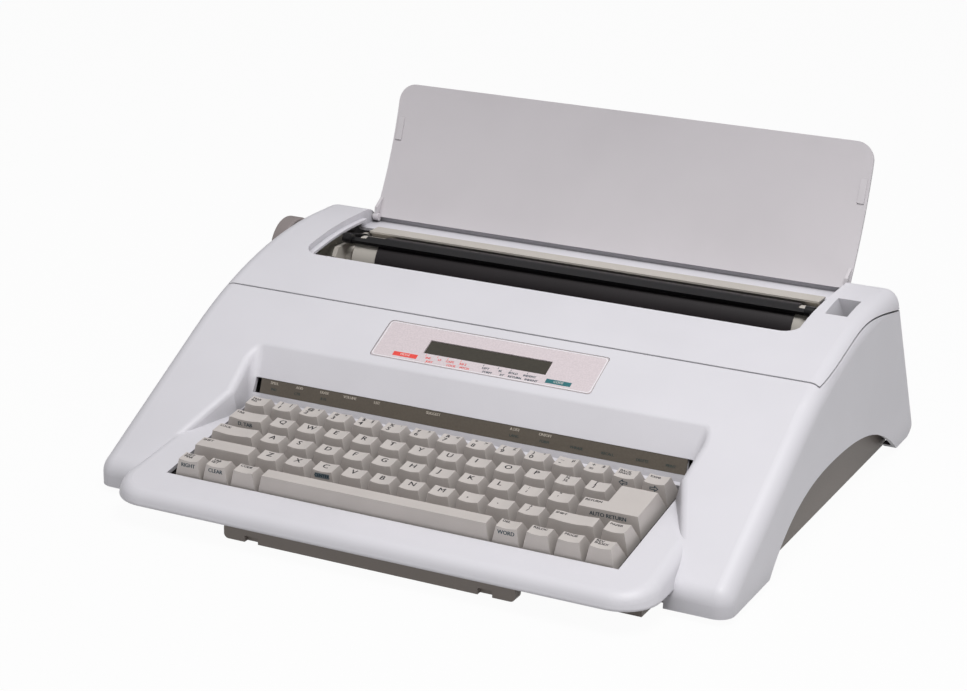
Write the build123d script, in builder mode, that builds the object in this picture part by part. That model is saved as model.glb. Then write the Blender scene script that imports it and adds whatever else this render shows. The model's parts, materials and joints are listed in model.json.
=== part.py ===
from build123d import *
import os
from math import acos, atan2, cos, hypot, pi, radians, sin, tan

# Compact electronic typewriter, in millimetres.
# X runs to the right along the platen, Y to the back, Z up; the desk is Z = 0.

# Shell
BODY_WIDTH = 413.0
BODY_HEIGHT = 116.5
WALL = 2.5
SIDE_ROUND = 10.0
FRONT_Y = -148.0
SKIRT_Z = 4.0
NOSE_Z = 18.3
NOSE_ROUND = 12.0
SLOPE_ANGLE = 29.07
SLOPE_END_Y = -42.0
APEX_Y = 109.6
REAR_FOOT_Y = 196.5
REAR_ANGLE = 62.2
REAR_TOP_ROUND = 14.0
HEEL_ROUND = 14.0
CUT_REACH = 260.0
OPEN_SIDE = 8.5
OPEN_FRONT_Y = -140.0
OPEN_REAR_Y = 165.0
THROAT_SIDE = 6.0
THROAT_Y = (-152.0, -136.0)
THROAT_Z = 22.0

# Palm rest and keyboard well
PALM_HALF = 174.0
PALM_FRONT_Y = -188.0
PALM_REAR_Y = -66.0
PALM_BOTTOM_Z = 14.6
PALM_DRAFT = 12.0
PALM_CORNER = 24.0
PALM_EDGE = 8.0
PALM_FOOT_ROUND = 1.8
WELL_REAR_Y = -62.0
WELL_STRIP_TOP = (-57.2, 56.3)
WELL_TOP = (-44.3, 78.6)
WELL_HALF_REAR = 147.4
WELL_HALF_FRONT = 165.0
WELL_BEND_Y = -84.0
WELL_MOUTH_Y = -120.0
WELL_FLARE = 11.6
WELL_CORNER = 6.0
WELL_RIM = 5.0
RIM_REACH = 1.2
RIM_SHORTEST = 3.0
RIM_LOW_Z = 35.0
KEYHOLE_HALF = 146.4
KEYHOLE_FRONT_V = -66.9
KEYHOLE_REAR_V = 29.6

# Side arch above the base
ARCH = ((-84.0, 4.0), (-30.0, 35.5), (25.0, 40.6), (100.0, 30.5), (152.0, 4.0))

# Top cover and its seam
SEAM_GAP = 1.2
SEAM = ((-4.0, 92.4), (37.0, 102.8), (81.0, 109.6), (123.8, 103.9), (152.0, 98.6))
OPENING_HALF = 172.4
OPENING_FRONT_Y = 40.5
OPENING_CORNER = 12.0
OPENING_WALL = 2.0
OPENING_WALL_REAR_Y = 141.0
OPENING_LOW_Z = 95.0
SEAT_DROP = 4.2
SEAT_THICK = 1.6
SEAT_WIDE = 3.9
LEDGE_FRONT_Y = 121.0
LEDGE_REAR_Y = 150.0
LEDGE_Z = 106.2
LEDGE_THICK = 2.0
LEVER_SLOT_X = (178.0, 193.0)
LEVER_SLOT_Y = (70.5, 97.5)
LEVER_RAMP = 5.0
LEVER_RAMP_Z = 104.0
LEVER_WELL_Z = 103.0
LEVER_WELL_WALL = 1.5
COVER_HINGE_Y = 150.2
COVER_HINGE_Z = 99.4
KNUCKLE_R = 3.0
KNUCKLE_X = 112.0
KNUCKLE_LENGTH = 18.0
HINGE_PIN_R = 1.5
HINGE_EAR = 8.0
HINGE_ROOT_Z = (96.0, 98.6)
HINGE_LEAF_Z = (101.4, 103.4)
RUN_CLEAR = 0.06
END_CLEAR = 0.4

# Paper lid, drawn open
LID_AXIS_Y = 137.5
LID_AXIS_Z = 110.0
LID_OPEN_ANGLE = 64.4
LID_LENGTH = 95.3
LID_THICK = 2.2
LID_HALF = 171.4
LID_CORNER = 12.0
LID_TRIM = 0.4
LID_PIN_R = 2.0
LID_PIN_LONG = 6.0
LID_SWEEP = 3.6
LID_RISE = (3.0, 5.7, -0.8)
LID_KNUCKLE_R = 2.7
LID_KNUCKLE_LONG = 4.0
LID_FOOT = ((1.2, 2.0), (14.0, 3.6), (14.0, 1.6), (6.0, -3.4), (1.2, -2.2))
LID_FOOT_IN = 1.6
LID_FOOT_THICK = 2.0
LID_HOOK = ((56.0, 4.2), (72.0, 2.9), (72.0, 0.9), (56.0, 2.2))
LID_HOOK_IN = 4.0
LID_HOOK_WIDE = 4.4

# Platen
PLATEN_Y = 97.0
PLATEN_Z = 92.0
PLATEN_R = 16.5
PLATEN_X = (-140.0, 154.0)
PLATEN_CORE_R = 12.0
SHAFT_R = 4.0
END_PIECE_X = (-158.0, 164.0)
END_PIECE_R = 15.5
KNOB_X = (-219.0, -208.2)
KNOB_R = 21.0
KNOB_ROUND = 1.6
SHAFT_SEAT = 3.0
BEARING_R = 8.0
BEARING_LONG = 4.0

# Side frames, rails and carriage
FRAME_THICK = 3.0
FRAME_LEFT_X = -170.0
FRAME_RIGHT_X = 180.0
RAIL_R = 4.0
RAIL_Z = 24.0
RAIL_YS = (27.0, 60.0)
CARRIAGE_X = 7.0
CARRIAGE_HALF = 30.0
WHEEL_Z = 63.0
WHEEL_R = 32.0
WHEEL_Y = 74.6
WHEEL_THICK = 0.8
PETALS = 96
HAMMER_Z = 92.0
HAMMER_R = 2.5
CASSETTE_HALF = 46.0
CASSETTE_Z = (84.0, 96.0)
CROSS_Y = 8.5
CROSS_THICK = 2.0
PULLEY_X = (-150.0, 163.0)
PULLEY_Z = 38.0
PULLEY_R = 8.0
BELT_Y = 12.2
BELT_WIDE = 5.0
BELT_THICK = 1.4
BELT_GAP = 0.3
CROSS_TOP_Z = 70.0
CARRIAGE_Y = (18.5, 68.0)
PLATE_Y = (62.0, 65.0)
HAMMER_GUIDE_Y = (46.0, 65.0)
HAMMER_GAP = 4.0
WHEEL_MOTOR_R = 16.0
WHEEL_MOTOR_LONG = 30.0
WHEEL_HUB_R = 12.0
PETAL_WIDE = 0.75
CASSETTE_Y = (21.0, 71.0)
CASSETTE_NOTCH_Y = 34.0
RIBBON_Y = 78.0
CARRIAGE_MOTOR_LONG = 36.0

# Line feed gears
GEAR_X = -188.0
GEAR_WIDE = 6.0
GEAR_MODULE = 1.0
PLATEN_TEETH = 36
IDLER_TEETH = 44
PINION_TEETH = 12
GEAR_PLAY = 0.16
MOTOR_SHAFT_R = 1.5
LINE_MOTOR_Y = 138.0
LINE_MOTOR_Z = 40.0
LINE_MOTOR_R = 16.0

# Paper path
PAN_R = 18.4
PAN_THICK = 1.2
FEED_ROLLER_R = 5.0
FEED_GAP = 0.35
FEED_ANGLE = -70.0
FEED_SHAFT_R = 2.0
FEED_XS = (-94.0, -28.0, 42.0, 108.0)
FEED_LONG = 20.0
CARRIER_Y = 121.0
CARRIER_Z = 64.0
BAIL_Y = 114.0
BAIL_Z = 97.0
BAIL_STUD_R = 2.5
BAIL_X = (-165.5, 167.5)
BAIL_ARM = 2.5
BAIL_BAR = ((84.0, 108.0), (91.0, 110.1), (91.6, 107.9), (84.6, 105.8))
BAIL_TAIL = ((84.0, 108.0), (88.0, 109.2), (88.6, 107.0), (84.6, 105.8))
BAIL_TAIL_LONG = (15.0, 12.0)
BAIL_LEG = (
    (84.0, 108.0), (90.0, 110.0), (112.0, 104.6), (119.0, 101.0), (119.6, 95.0), (115.0, 91.6),
    (109.0, 92.6), (106.0, 99.0), (92.0, 104.5), (84.6, 105.8),
)
BAIL_BOSS = (86.0, 108.3)
BAIL_BOSS_R = 3.5
BAIL_BOSS_LONG = 6.0
STUD_END = 1.0
CARRIER_PIN_R = 2.0
EAR_THICK = 2.0
PAN_X = (-158.0, 163.0)
PAN_LIP_ANGLE = 58.0
PAN_END_ANGLE = -118.0
LEVER_X = 184.2
LEVER_THICK = 3.0
LEVER_Y = 80.0
LEVER_Z = 66.0
LEVER_TIP_Y = 89.0
LEVER_TIP_Z = 102.4

# Keyboard
KEY_TILT = 8.616
KEY_ORIGIN = (0.0, -96.4, 47.04)
KEY_STAND = 9.3
UNIT = 19.05
BLOCK_UNITS = 15.0
CAP_GAP = 0.75
CAP_HEIGHT = 13.3
CAP_TOP_TRIM = 6.4
CAP_TOP_DEPTH = 9.8
CAP_TOP_SHIFT = 2.1
CAP_FRONT_TRIM = 1.6
KEY_SHIFT = 0.9
DISH_R = 26.0
DISH_DEPTH = 0.7
STEM = 5.0
STEM_CLEAR = 0.3
KEY_TRAVEL = 3.5
STEM_LOW = 20.0
PLATE_TOP = 17.3
PLATE_THICK = 1.5
PLATE_HALF = 150.0
RIM = 2.0
PLATE_FRONT_V = -63.8
PLATE_REAR_V = 32.6
PAD_TOP = 23.8
PAD_R = 4.0
SHEET_TOP = 24.9
SHEET_THICK = 0.8
SHEET_PLAY = 0.4
BOARD_THICK = 1.6

# Base
BASE_HALF = 196.0
BASE_Z = 2.5
BASE_FLOOR = 2.5
BASE_REAR_Y = 162.0
BASE_WING_Y = -138.0
BASE_FRONT_Y = -161.0
BASE_FRONT_HALF = 161.0
BASE_SIDE_Y = -82.0
BASE_SIDE_Z = 47.0
BASE_FRONT_WALL_Z = 16.0
FOOT_SPOTS = ((-146.0, -146.0), (146.0, -146.0), (-172.0, 148.0), (172.0, 148.0))
FOOT_R = 9.0
POST_R = 4.5
POST_SPOTS = ((-186.0, -112.0), (186.0, -112.0), (-186.0, 152.0), (186.0, 152.0))
POST_Z = 22.0
SCREW_R = 1.5
SCREW_HEAD_R = 3.2
SCREW_HEAD = 1.8
SCREW_CLEAR = 0.1
SCREW_LONG = 27.0
SCREW_SINK = 0.3
SCREW_CROSS = (4.2, 0.9)

# Electrics
MAIN_BOARD_Z = 7.5
MAIN_BOARD_X = (-120.0, 120.0)
MAIN_BOARD_Y = (-46.0, 56.0)
MAIN_CHIPS = (
    (-60.0, -20.0, 52.0, 15.0, 4.0),
    (10.0, -20.0, 36.0, 13.0, 4.0),
    (70.0, -24.0, 24.0, 10.0, 5.0),
    (-80.0, 24.0, 20.0, 20.0, 5.0),
    (40.0, 30.0, 60.0, 8.0, 5.0),
)
TRANSFORMER_X = (96.0, 146.0)
TRANSFORMER_Y = (100.0, 152.0)
TRANSFORMER_Z = 50.0
BOARD_POSTS = ((-112.0, -38.0), (112.0, -38.0), (-112.0, 48.0), (112.0, 48.0))

# Carry handle
HANDLE_HALF = 94.0
HANDLE_Y = (-181.0, -173.5)
HANDLE_Z = (4.3, 13.8)
HANDLE_ROUND = 3.0
HANDLE_NOTCH_X = (71.0, 80.0)
HANDLE_NOTCH_DEEP = 3.4
HANDLE_NOTCH_Z = 8.3
HANDLE_ARM_X = 86.0
HANDLE_ARM_WIDE = 11.0
HANDLE_ARM_REAR_Y = -102.0
HANDLE_ARM_THICK = 3.0
HANDLE_CLEAR = 0.4

# Display
PANEL_ORIGIN = (-1.2, -26.0, 85.0)
PANEL_TILT = 25.7
PANEL_SIZE = (149.6, 32.4)
PANEL_THICK = 1.4
PANEL_CORNER = 2.5
WINDOW_SIZE = (83.0, 11.8)
WINDOW_V = -1.1
LCD_SEAT = 2.5
LCD_DEEP = 9.0

# Function strip above the keys
STRIP_HALF = 143.6
STRIP_SLOT_HALF = 147.2
STRIP_WIDE = 9.4
STRIP_THICK = 1.6
STRIP_MARGIN = 0.4
STRIP_SUNK = 0.2
STRIP_PLAY = 0.3
STRIP_TAB = 3.2

# Switch and cord gland
SWITCH_Y = -20.0
SWITCH_Z = 62.0
SWITCH_SIZE = (13.0, 21.0)
SWITCH_DEEP = 17.0
SWITCH_PLAY = 0.2
BEZEL_PROUD = 1.2
BEZEL_WIDE = 1.6
ROCKER_X = -202.0
ROCKER_R = 9.0
ROCKER_WIDE = 8.0
ROCKER_TILT = 8.0
GLAND_X = -140.0
GLAND_Z = 40.0
GLAND_R = 6.5
GLAND_BORE_R = 3.6

HALF = BODY_WIDTH / 2
FLOOR_Z = BASE_Z + BASE_FLOOR
SLOPE = radians(SLOPE_ANGLE)
REAR = radians(REAR_ANGLE)
TILT = radians(KEY_TILT)
KEY_PLANE = Plane(origin=KEY_ORIGIN, x_dir=(1, 0, 0), z_dir=(0, -sin(TILT), cos(TILT)))
TRAY_PLANE = KEY_PLANE.offset(-KEY_STAND)
PANEL_PLANE = Plane(
    origin=PANEL_ORIGIN,
    x_dir=(1, 0, 0),
    z_dir=(0, -sin(radians(PANEL_TILT)), cos(radians(PANEL_TILT))),
)

os.makedirs("parts", exist_ok=True)


def save(piece, name):
    """Label a finished piece and write it out."""
    piece.part.label = name
    export_step(piece.part, f"parts/{name}.step")


def slope_z(y):
    """Height of the front slope at a depth."""
    return NOSE_Z + (y - FRONT_Y) * tan(SLOPE)


def rear_y(z):
    """Depth of the raked back wall at a height."""
    return REAR_FOOT_Y - (z - SKIRT_Z) / tan(REAR)


def tray_z(y):
    """Height of the tray surface at a depth."""
    origin = TRAY_PLANE.origin
    return origin.Z + (y - origin.Y) * tan(TILT)


def body_block(inset):
    """The swept main body as a solid, moved inwards by a wall thickness."""
    front = FRONT_Y + inset
    top = BODY_HEIGHT - inset
    low = SKIRT_Z + inset
    back = rear_y(low) - inset / sin(REAR)
    back_top = rear_y(top) - inset / sin(REAR)
    nose = slope_z(front) - inset / cos(SLOPE)
    bend = (SLOPE_END_Y + inset * sin(SLOPE), slope_z(SLOPE_END_Y) - inset * cos(SLOPE))
    heel = HEEL_ROUND - inset
    reach = heel / tan(REAR / 2)
    centre = (back - reach, low + heel)
    aim = atan2(low - centre[1], back - centre[0])
    with BuildPart() as solid:
        with BuildSketch(Plane.YZ) as side:
            with BuildLine():
                Polyline(
                    (APEX_Y, top), (back_top, top), (back, low), (front, low), (front, nose), bend
                )
                TangentArc(bend, (APEX_Y, top), tangent=(cos(SLOPE), sin(SLOPE)))
            make_face()
            fillet(side.vertices().sort_by_distance((front, nose))[0], NOSE_ROUND - inset)
            fillet(side.vertices().sort_by_distance((back_top, top))[0], REAR_TOP_ROUND - inset)
        extrude(amount=HALF - inset, both=True)
        rim = [
            edge
            for edge in solid.edges()
            if abs(abs(edge.center().X) - HALF + inset) < 0.01 and edge.center().Z > low + 0.5
        ]
        fillet(rim, SIDE_ROUND - inset)
        with BuildSketch(Plane.YZ):
            with BuildLine():
                Polyline(
                    (back - reach * cos(REAR), low + reach * sin(REAR)),
                    (back + 1, low + 2),
                    (back + 1, low - 1),
                    (back - reach, low - 1),
                    (back - reach, low),
                )
                ThreePointArc(
                    (back - reach, low),
                    (centre[0] + heel * cos(aim), centre[1] + heel * sin(aim)),
                    (back - reach * cos(REAR), low + reach * sin(REAR)),
                )
            make_face()
        extrude(amount=HALF + 1, both=True, mode=Mode.SUBTRACT)
    return solid.part


def palm_block(inset):
    """The palm rest that stands in front of the body, cut off by the tray surface."""
    with BuildPart() as solid:
        with BuildSketch(Plane.XY.offset(PALM_BOTTOM_Z - inset)) as plan:
            with Locations((0, (PALM_FRONT_Y + PALM_REAR_Y) / 2)):
                Rectangle(2 * (PALM_HALF - inset), PALM_REAR_Y - PALM_FRONT_Y - 2 * inset)
            fillet(plan.vertices().group_by(Axis.Y)[0], PALM_CORNER - inset)
        extrude(amount=BODY_HEIGHT / 2, taper=PALM_DRAFT)
        split(bisect_by=TRAY_PLANE.offset(-inset), keep=Keep.BOTTOM)
        top = solid.faces().sort_by(Axis.Z)[-1]
        fillet(top.edges().sort_by(Axis.Y)[:-1], PALM_EDGE - inset)
        if not inset:
            foot = solid.faces().sort_by(Axis.Z)[0]
            fillet(foot.edges().sort_by(Axis.Y)[:-1], PALM_FOOT_ROUND)
    return solid.part


def well_block(grow):
    """The sunk keyboard well above the tray, made larger by a wall thickness."""
    flare = tan(radians(WELL_FLARE))
    rear_half = WELL_HALF_REAR - flare * tray_z(WELL_REAR_Y)
    mouth_half = WELL_HALF_FRONT - flare * tray_z(WELL_MOUTH_Y)
    run = (mouth_half - rear_half) / (WELL_BEND_Y - WELL_MOUTH_Y)
    far_half = rear_half + run * (WELL_BEND_Y + CUT_REACH)
    with BuildPart() as solid:
        with BuildSketch(Plane.YZ):
            with BuildLine():
                Polyline(
                    (-CUT_REACH, tray_z(-CUT_REACH)),
                    (WELL_REAR_Y, tray_z(WELL_REAR_Y)),
                    WELL_STRIP_TOP,
                    WELL_TOP,
                    (WELL_TOP[0], BODY_HEIGHT),
                    (-CUT_REACH, BODY_HEIGHT),
                    close=True,
                )
            make_face()
            if grow:
                offset(amount=grow, kind=Kind.INTERSECTION)
        extrude(amount=BODY_WIDTH, both=True)
        with BuildSketch(Plane.XY):
            with BuildLine():
                Polyline(
                    (-far_half, -CUT_REACH),
                    (far_half, -CUT_REACH),
                    (rear_half, WELL_BEND_Y),
                    (rear_half, 0),
                    (-rear_half, 0),
                    (-rear_half, WELL_BEND_Y),
                    close=True,
                )
            make_face()
            if grow:
                offset(amount=grow, kind=Kind.INTERSECTION)
        extrude(amount=BODY_HEIGHT + WALL, taper=-WELL_FLARE, mode=Mode.INTERSECT)
        corners = [
            edge
            for edge in solid.edges()
            if WELL_REAR_Y - 1 < edge.center().Y < WELL_TOP[0] + WALL + 1
            and abs(edge.center().X) > rear_half
            and edge.center().Z < WELL_TOP[1] + WALL
            and abs(edge.tangent_at(0.5).Z) > 0.5
        ]
        fillet(corners, WELL_CORNER + grow)
    return solid.part


def well_rim(edges):
    """The edges where the well walls meet the front slope."""
    return [
        edge
        for edge in edges
        if abs(edge.center().X) < WELL_HALF_FRONT + 2
        and WELL_MOUTH_Y - 1 < edge.center().Y < WELL_TOP[0]
        and abs(edge.center().Z - slope_z(edge.center().Y)) < RIM_REACH
        and edge.length > RIM_SHORTEST
        and edge.geom_type != GeomType.ELLIPSE
        and edge.center().Z > RIM_LOW_Z
    ]


def cover_zone(gap):
    """Everything above the cover seam, drawn back by a gap."""
    points = [(y, z + gap) for y, z in SEAM]
    points[0] = (SEAM[0][0] + gap, SEAM[0][1] + gap)
    with BuildPart() as zone:
        with BuildSketch(Plane.YZ):
            with BuildLine():
                Spline(*points)
                Polyline(
                    points[-1],
                    (CUT_REACH, points[-1][1]),
                    (CUT_REACH, CUT_REACH),
                    (points[0][0], CUT_REACH),
                    points[0],
                )
            make_face()
        extrude(amount=BODY_WIDTH, both=True)
    return zone.part


def rod(x_from, x_to, radius, y, z, mode=Mode.ADD):
    """A round rod along X between two stations."""
    with BuildSketch(Plane.YZ.offset(x_from)) as disc:
        with Locations((y, z)):
            Circle(radius)
    extrude(disc.sketch, amount=x_to - x_from, mode=mode)


def block(x_span, y_span, z_span, mode=Mode.ADD):
    """A plain box between three pairs of stations."""
    with Locations(
        ((x_span[0] + x_span[1]) / 2, (y_span[0] + y_span[1]) / 2, (z_span[0] + z_span[1]) / 2)
    ):
        Box(x_span[1] - x_span[0], y_span[1] - y_span[0], z_span[1] - z_span[0], mode=mode)


def side_plate(x_from, thick, points, mode=Mode.ADD):
    """A flat plate square to X with a polygon outline given as depth and height."""
    with BuildSketch(Plane.YZ.offset(x_from)) as plate:
        with BuildLine():
            Polyline(*points, close=True)
        make_face()
    extrude(plate.sketch, amount=thick, mode=mode)


BODY = body_block(0)
BODY_INNER = body_block(WALL)
WELL = well_block(0)

STRIP_WALL = Vector(0, WELL_STRIP_TOP[0] - WELL_REAR_Y, WELL_STRIP_TOP[1] - tray_z(WELL_REAR_Y))
STRIP_UP = STRIP_WALL.normalized()
STRIP_MIDDLE = Vector(0, *WELL_STRIP_TOP) - STRIP_UP * (STRIP_MARGIN + STRIP_WIDE / 2)
STRIP_PLANE = Plane(STRIP_MIDDLE, x_dir=(1, 0, 0), z_dir=(0, -STRIP_UP.Z, STRIP_UP.Y))

# Hollow inside of the housing
with BuildPart() as cavity:
    add(BODY_INNER)
    add(palm_block(WALL))
    add(well_block(WALL), mode=Mode.SUBTRACT)
    open_half = HALF - OPEN_SIDE
    throat_half = PALM_HALF - THROAT_SIDE
    block((-open_half, open_half), (OPEN_FRONT_Y, OPEN_REAR_Y), (-1, SKIRT_Z + WALL + 1))
    block((-throat_half, throat_half), THROAT_Y, (-1, THROAT_Z))

# Posts under the housing for the case screws
with BuildPart() as housing_posts:
    with BuildSketch(Plane.XY.offset(POST_Z)):
        with Locations(*POST_SPOTS):
            Circle(POST_R)
    extrude(amount=BODY_HEIGHT)
    add(BODY, mode=Mode.INTERSECT)
    with BuildSketch(Plane.XY.offset(POST_Z)):
        with Locations(*POST_SPOTS):
            Circle(SCREW_R + SCREW_CLEAR)
    extrude(amount=SCREW_LONG - POST_Z + BASE_Z + 1, mode=Mode.SUBTRACT)

# Upper housing
with BuildPart() as upper_housing:
    add(BODY)
    add(palm_block(0))
    add(WELL, mode=Mode.SUBTRACT)
    fillet(well_rim(upper_housing.edges()), WELL_RIM)
    add(cavity.part, mode=Mode.SUBTRACT)
    add(cover_zone(0), mode=Mode.SUBTRACT)
    with BuildSketch(Plane.YZ):
        with BuildLine():
            Spline(*ARCH)
            Polyline(ARCH[-1], (ARCH[-1][0], 0), (ARCH[0][0], 0), ARCH[0])
        make_face()
    extrude(amount=BODY_WIDTH, both=True, mode=Mode.SUBTRACT)
    with BuildSketch(TRAY_PLANE.offset(1)):
        with Locations((0, (KEYHOLE_FRONT_V + KEYHOLE_REAR_V) / 2)):
            Rectangle(2 * KEYHOLE_HALF, KEYHOLE_REAR_V - KEYHOLE_FRONT_V)
    extrude(amount=-3 * WALL, mode=Mode.SUBTRACT)
    with BuildSketch(STRIP_PLANE.offset(-STRIP_THICK)):
        Rectangle(2 * STRIP_SLOT_HALF, STRIP_WIDE + STRIP_PLAY)
    extrude(amount=2 * WALL, mode=Mode.SUBTRACT)
    with BuildSketch(STRIP_PLANE.offset(1)):
        tab_x = STRIP_SLOT_HALF - STRIP_TAB / 2
        with Locations((tab_x, 0), (-tab_x, 0)):
            Rectangle(STRIP_TAB, STRIP_WIDE + STRIP_PLAY)
    extrude(amount=-3 * WALL, mode=Mode.SUBTRACT)
    with BuildSketch(PANEL_PLANE.offset(-PANEL_THICK)):
        RectangleRounded(PANEL_SIZE[0] + 0.4, PANEL_SIZE[1] + 0.4, PANEL_CORNER)
    extrude(amount=2 * WALL, mode=Mode.SUBTRACT)
    with BuildSketch(PANEL_PLANE.offset(1)):
        with Locations((0, WINDOW_V)):
            Rectangle(WINDOW_SIZE[0] + 1, WINDOW_SIZE[1] + 1)
    extrude(amount=-3 * WALL, mode=Mode.SUBTRACT)
    rod(-HALF - 1, -HALF + 2 * WALL, SHAFT_R + 1.5, PLATEN_Y, PLATEN_Z, mode=Mode.SUBTRACT)
    block(
        (-HALF - 1, -HALF + 2 * WALL),
        (SWITCH_Y - SWITCH_SIZE[0] / 2, SWITCH_Y + SWITCH_SIZE[0] / 2),
        (SWITCH_Z - SWITCH_SIZE[1] / 2, SWITCH_Z + SWITCH_SIZE[1] / 2),
        mode=Mode.SUBTRACT,
    )
    with BuildSketch(Plane.XZ.offset(-rear_y(GLAND_Z) + 16)):
        with Locations((GLAND_X, GLAND_Z)):
            Circle(GLAND_R)
    extrude(amount=-30, mode=Mode.SUBTRACT)
    add(housing_posts.part)
    for side in (-1, 1):
        for end in (-1, 1):
            near = side * KNUCKLE_X + end * (KNUCKLE_LENGTH / 2 + END_CLEAR)
            span = (min(near, near + end * HINGE_EAR), max(near, near + end * HINGE_EAR))
            rod(span[0], span[1], KNUCKLE_R, COVER_HINGE_Y, COVER_HINGE_Z)
            root_y = (rear_y(HINGE_ROOT_Z[0]) - WALL, COVER_HINGE_Y)
            block(span, root_y, (COVER_HINGE_Z - KNUCKLE_R, HINGE_ROOT_Z[1]))
            rod(span[0], span[1], HINGE_PIN_R, COVER_HINGE_Y, COVER_HINGE_Z, mode=Mode.SUBTRACT)
save(upper_housing, "upper_housing")

# Rim round the paper opening, the seat for the lid and the ledge behind it
OPENING_OUT = OPENING_HALF + OPENING_WALL
OPENING_REAR_Y = LID_AXIS_Y + LID_SWEEP
SKIN = body_block(SEAT_DROP)
SKIN_INNER = body_block(SEAT_DROP + SEAT_THICK)
with BuildPart() as opening_rim:
    with BuildSketch(Plane.XY.offset(OPENING_LOW_Z)) as ring:
        wall_front = OPENING_FRONT_Y - OPENING_WALL
        with Locations((0, (wall_front + OPENING_WALL_REAR_Y) / 2)):
            Rectangle(2 * OPENING_OUT, OPENING_WALL_REAR_Y - wall_front)
        fillet(ring.vertices().group_by(Axis.Y)[0], OPENING_CORNER + OPENING_WALL)
        with Locations((0, (OPENING_FRONT_Y + LEDGE_REAR_Y) / 2)):
            Rectangle(2 * OPENING_HALF, LEDGE_REAR_Y - OPENING_FRONT_Y, mode=Mode.SUBTRACT)
    extrude(amount=BODY_HEIGHT - OPENING_LOW_Z)
    add(SKIN_INNER, mode=Mode.SUBTRACT)
    for side in (-1, 1):
        cheek = (side * OPENING_HALF, side * OPENING_OUT)
        cheek_y = (LEDGE_FRONT_Y, OPENING_WALL_REAR_Y)
        block((min(cheek), max(cheek)), cheek_y, (LEDGE_Z - LEDGE_THICK, BODY_HEIGHT))
    ledge_y = (LEDGE_FRONT_Y, LEDGE_REAR_Y)
    block((-OPENING_HALF, OPENING_HALF), ledge_y, (LEDGE_Z - LEDGE_THICK, LEDGE_Z))
    well_x = (LEVER_SLOT_X[0] - LEVER_WELL_WALL, LEVER_SLOT_X[1] + LEVER_WELL_WALL)
    well_y = (LEVER_SLOT_Y[0] - LEVER_WELL_WALL, LEVER_SLOT_Y[1] + LEVER_WELL_WALL)
    block(well_x, well_y, (LEVER_WELL_Z, BODY_HEIGHT))
    add(BODY, mode=Mode.INTERSECT)

with BuildPart() as lid_seat:
    for side in (-1, 1):
        seat = (side * (OPENING_HALF - SEAT_WIDE), side * OPENING_OUT)
        seat_y = (OPENING_FRONT_Y - OPENING_WALL / 2, LEDGE_FRONT_Y + 1)
        block((min(seat), max(seat)), seat_y, (OPENING_LOW_Z, BODY_HEIGHT))
    add(SKIN, mode=Mode.INTERSECT)
    add(SKIN_INNER, mode=Mode.SUBTRACT)

# Top cover
with BuildPart() as top_cover:
    add(BODY)
    add(BODY_INNER, mode=Mode.SUBTRACT)
    add(cover_zone(SEAM_GAP), mode=Mode.INTERSECT)
    with BuildSketch(Plane.XY.offset(LEDGE_Z)) as mouth:
        with Locations((0, (OPENING_FRONT_Y + OPENING_REAR_Y) / 2)):
            Rectangle(2 * OPENING_HALF, OPENING_REAR_Y - OPENING_FRONT_Y)
        fillet(mouth.vertices().group_by(Axis.Y)[0], OPENING_CORNER)
    extrude(amount=BODY_HEIGHT, mode=Mode.SUBTRACT)
    add(opening_rim.part)
    add(lid_seat.part)
    with BuildSketch(Plane.XZ.offset(-LEVER_SLOT_Y[0])) as slot:
        with BuildLine():
            Polyline(
                (LEVER_SLOT_X[0], BODY_HEIGHT),
                (LEVER_SLOT_X[1], BODY_HEIGHT),
                (LEVER_SLOT_X[1], 0),
                (LEVER_SLOT_X[0] + LEVER_RAMP, 0),
                (LEVER_SLOT_X[0] + LEVER_RAMP, LEVER_RAMP_Z),
                close=True,
            )
        make_face()
    extrude(slot.sketch, amount=LEVER_SLOT_Y[0] - LEVER_SLOT_Y[1], mode=Mode.SUBTRACT)
    pin_hole = LID_PIN_R + RUN_CLEAR
    pin_reach = OPENING_OUT + 1
    rod(-pin_reach, pin_reach, pin_hole, LID_AXIS_Y, LID_AXIS_Z, mode=Mode.SUBTRACT)
    for side in (-1, 1):
        span = (side * KNUCKLE_X - KNUCKLE_LENGTH / 2, side * KNUCKLE_X + KNUCKLE_LENGTH / 2)
        rod(span[0], span[1], KNUCKLE_R, COVER_HINGE_Y, COVER_HINGE_Z)
        block(span, (rear_y(HINGE_LEAF_Z[0]) - WALL, COVER_HINGE_Y), HINGE_LEAF_Z)
        bore = HINGE_PIN_R + RUN_CLEAR
        rod(span[0], span[1], bore, COVER_HINGE_Y, COVER_HINGE_Z, mode=Mode.SUBTRACT)
save(top_cover, "top_cover")

# Hinge pins of the cover
with BuildPart() as cover_hinge_pins:
    for side in (-1, 1):
        reach = KNUCKLE_LENGTH / 2 + END_CLEAR + HINGE_EAR
        rod(
            side * KNUCKLE_X - reach,
            side * KNUCKLE_X + reach,
            HINGE_PIN_R,
            COVER_HINGE_Y,
            COVER_HINGE_Z,
        )
save(cover_hinge_pins, "cover_hinge_pins")

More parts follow.
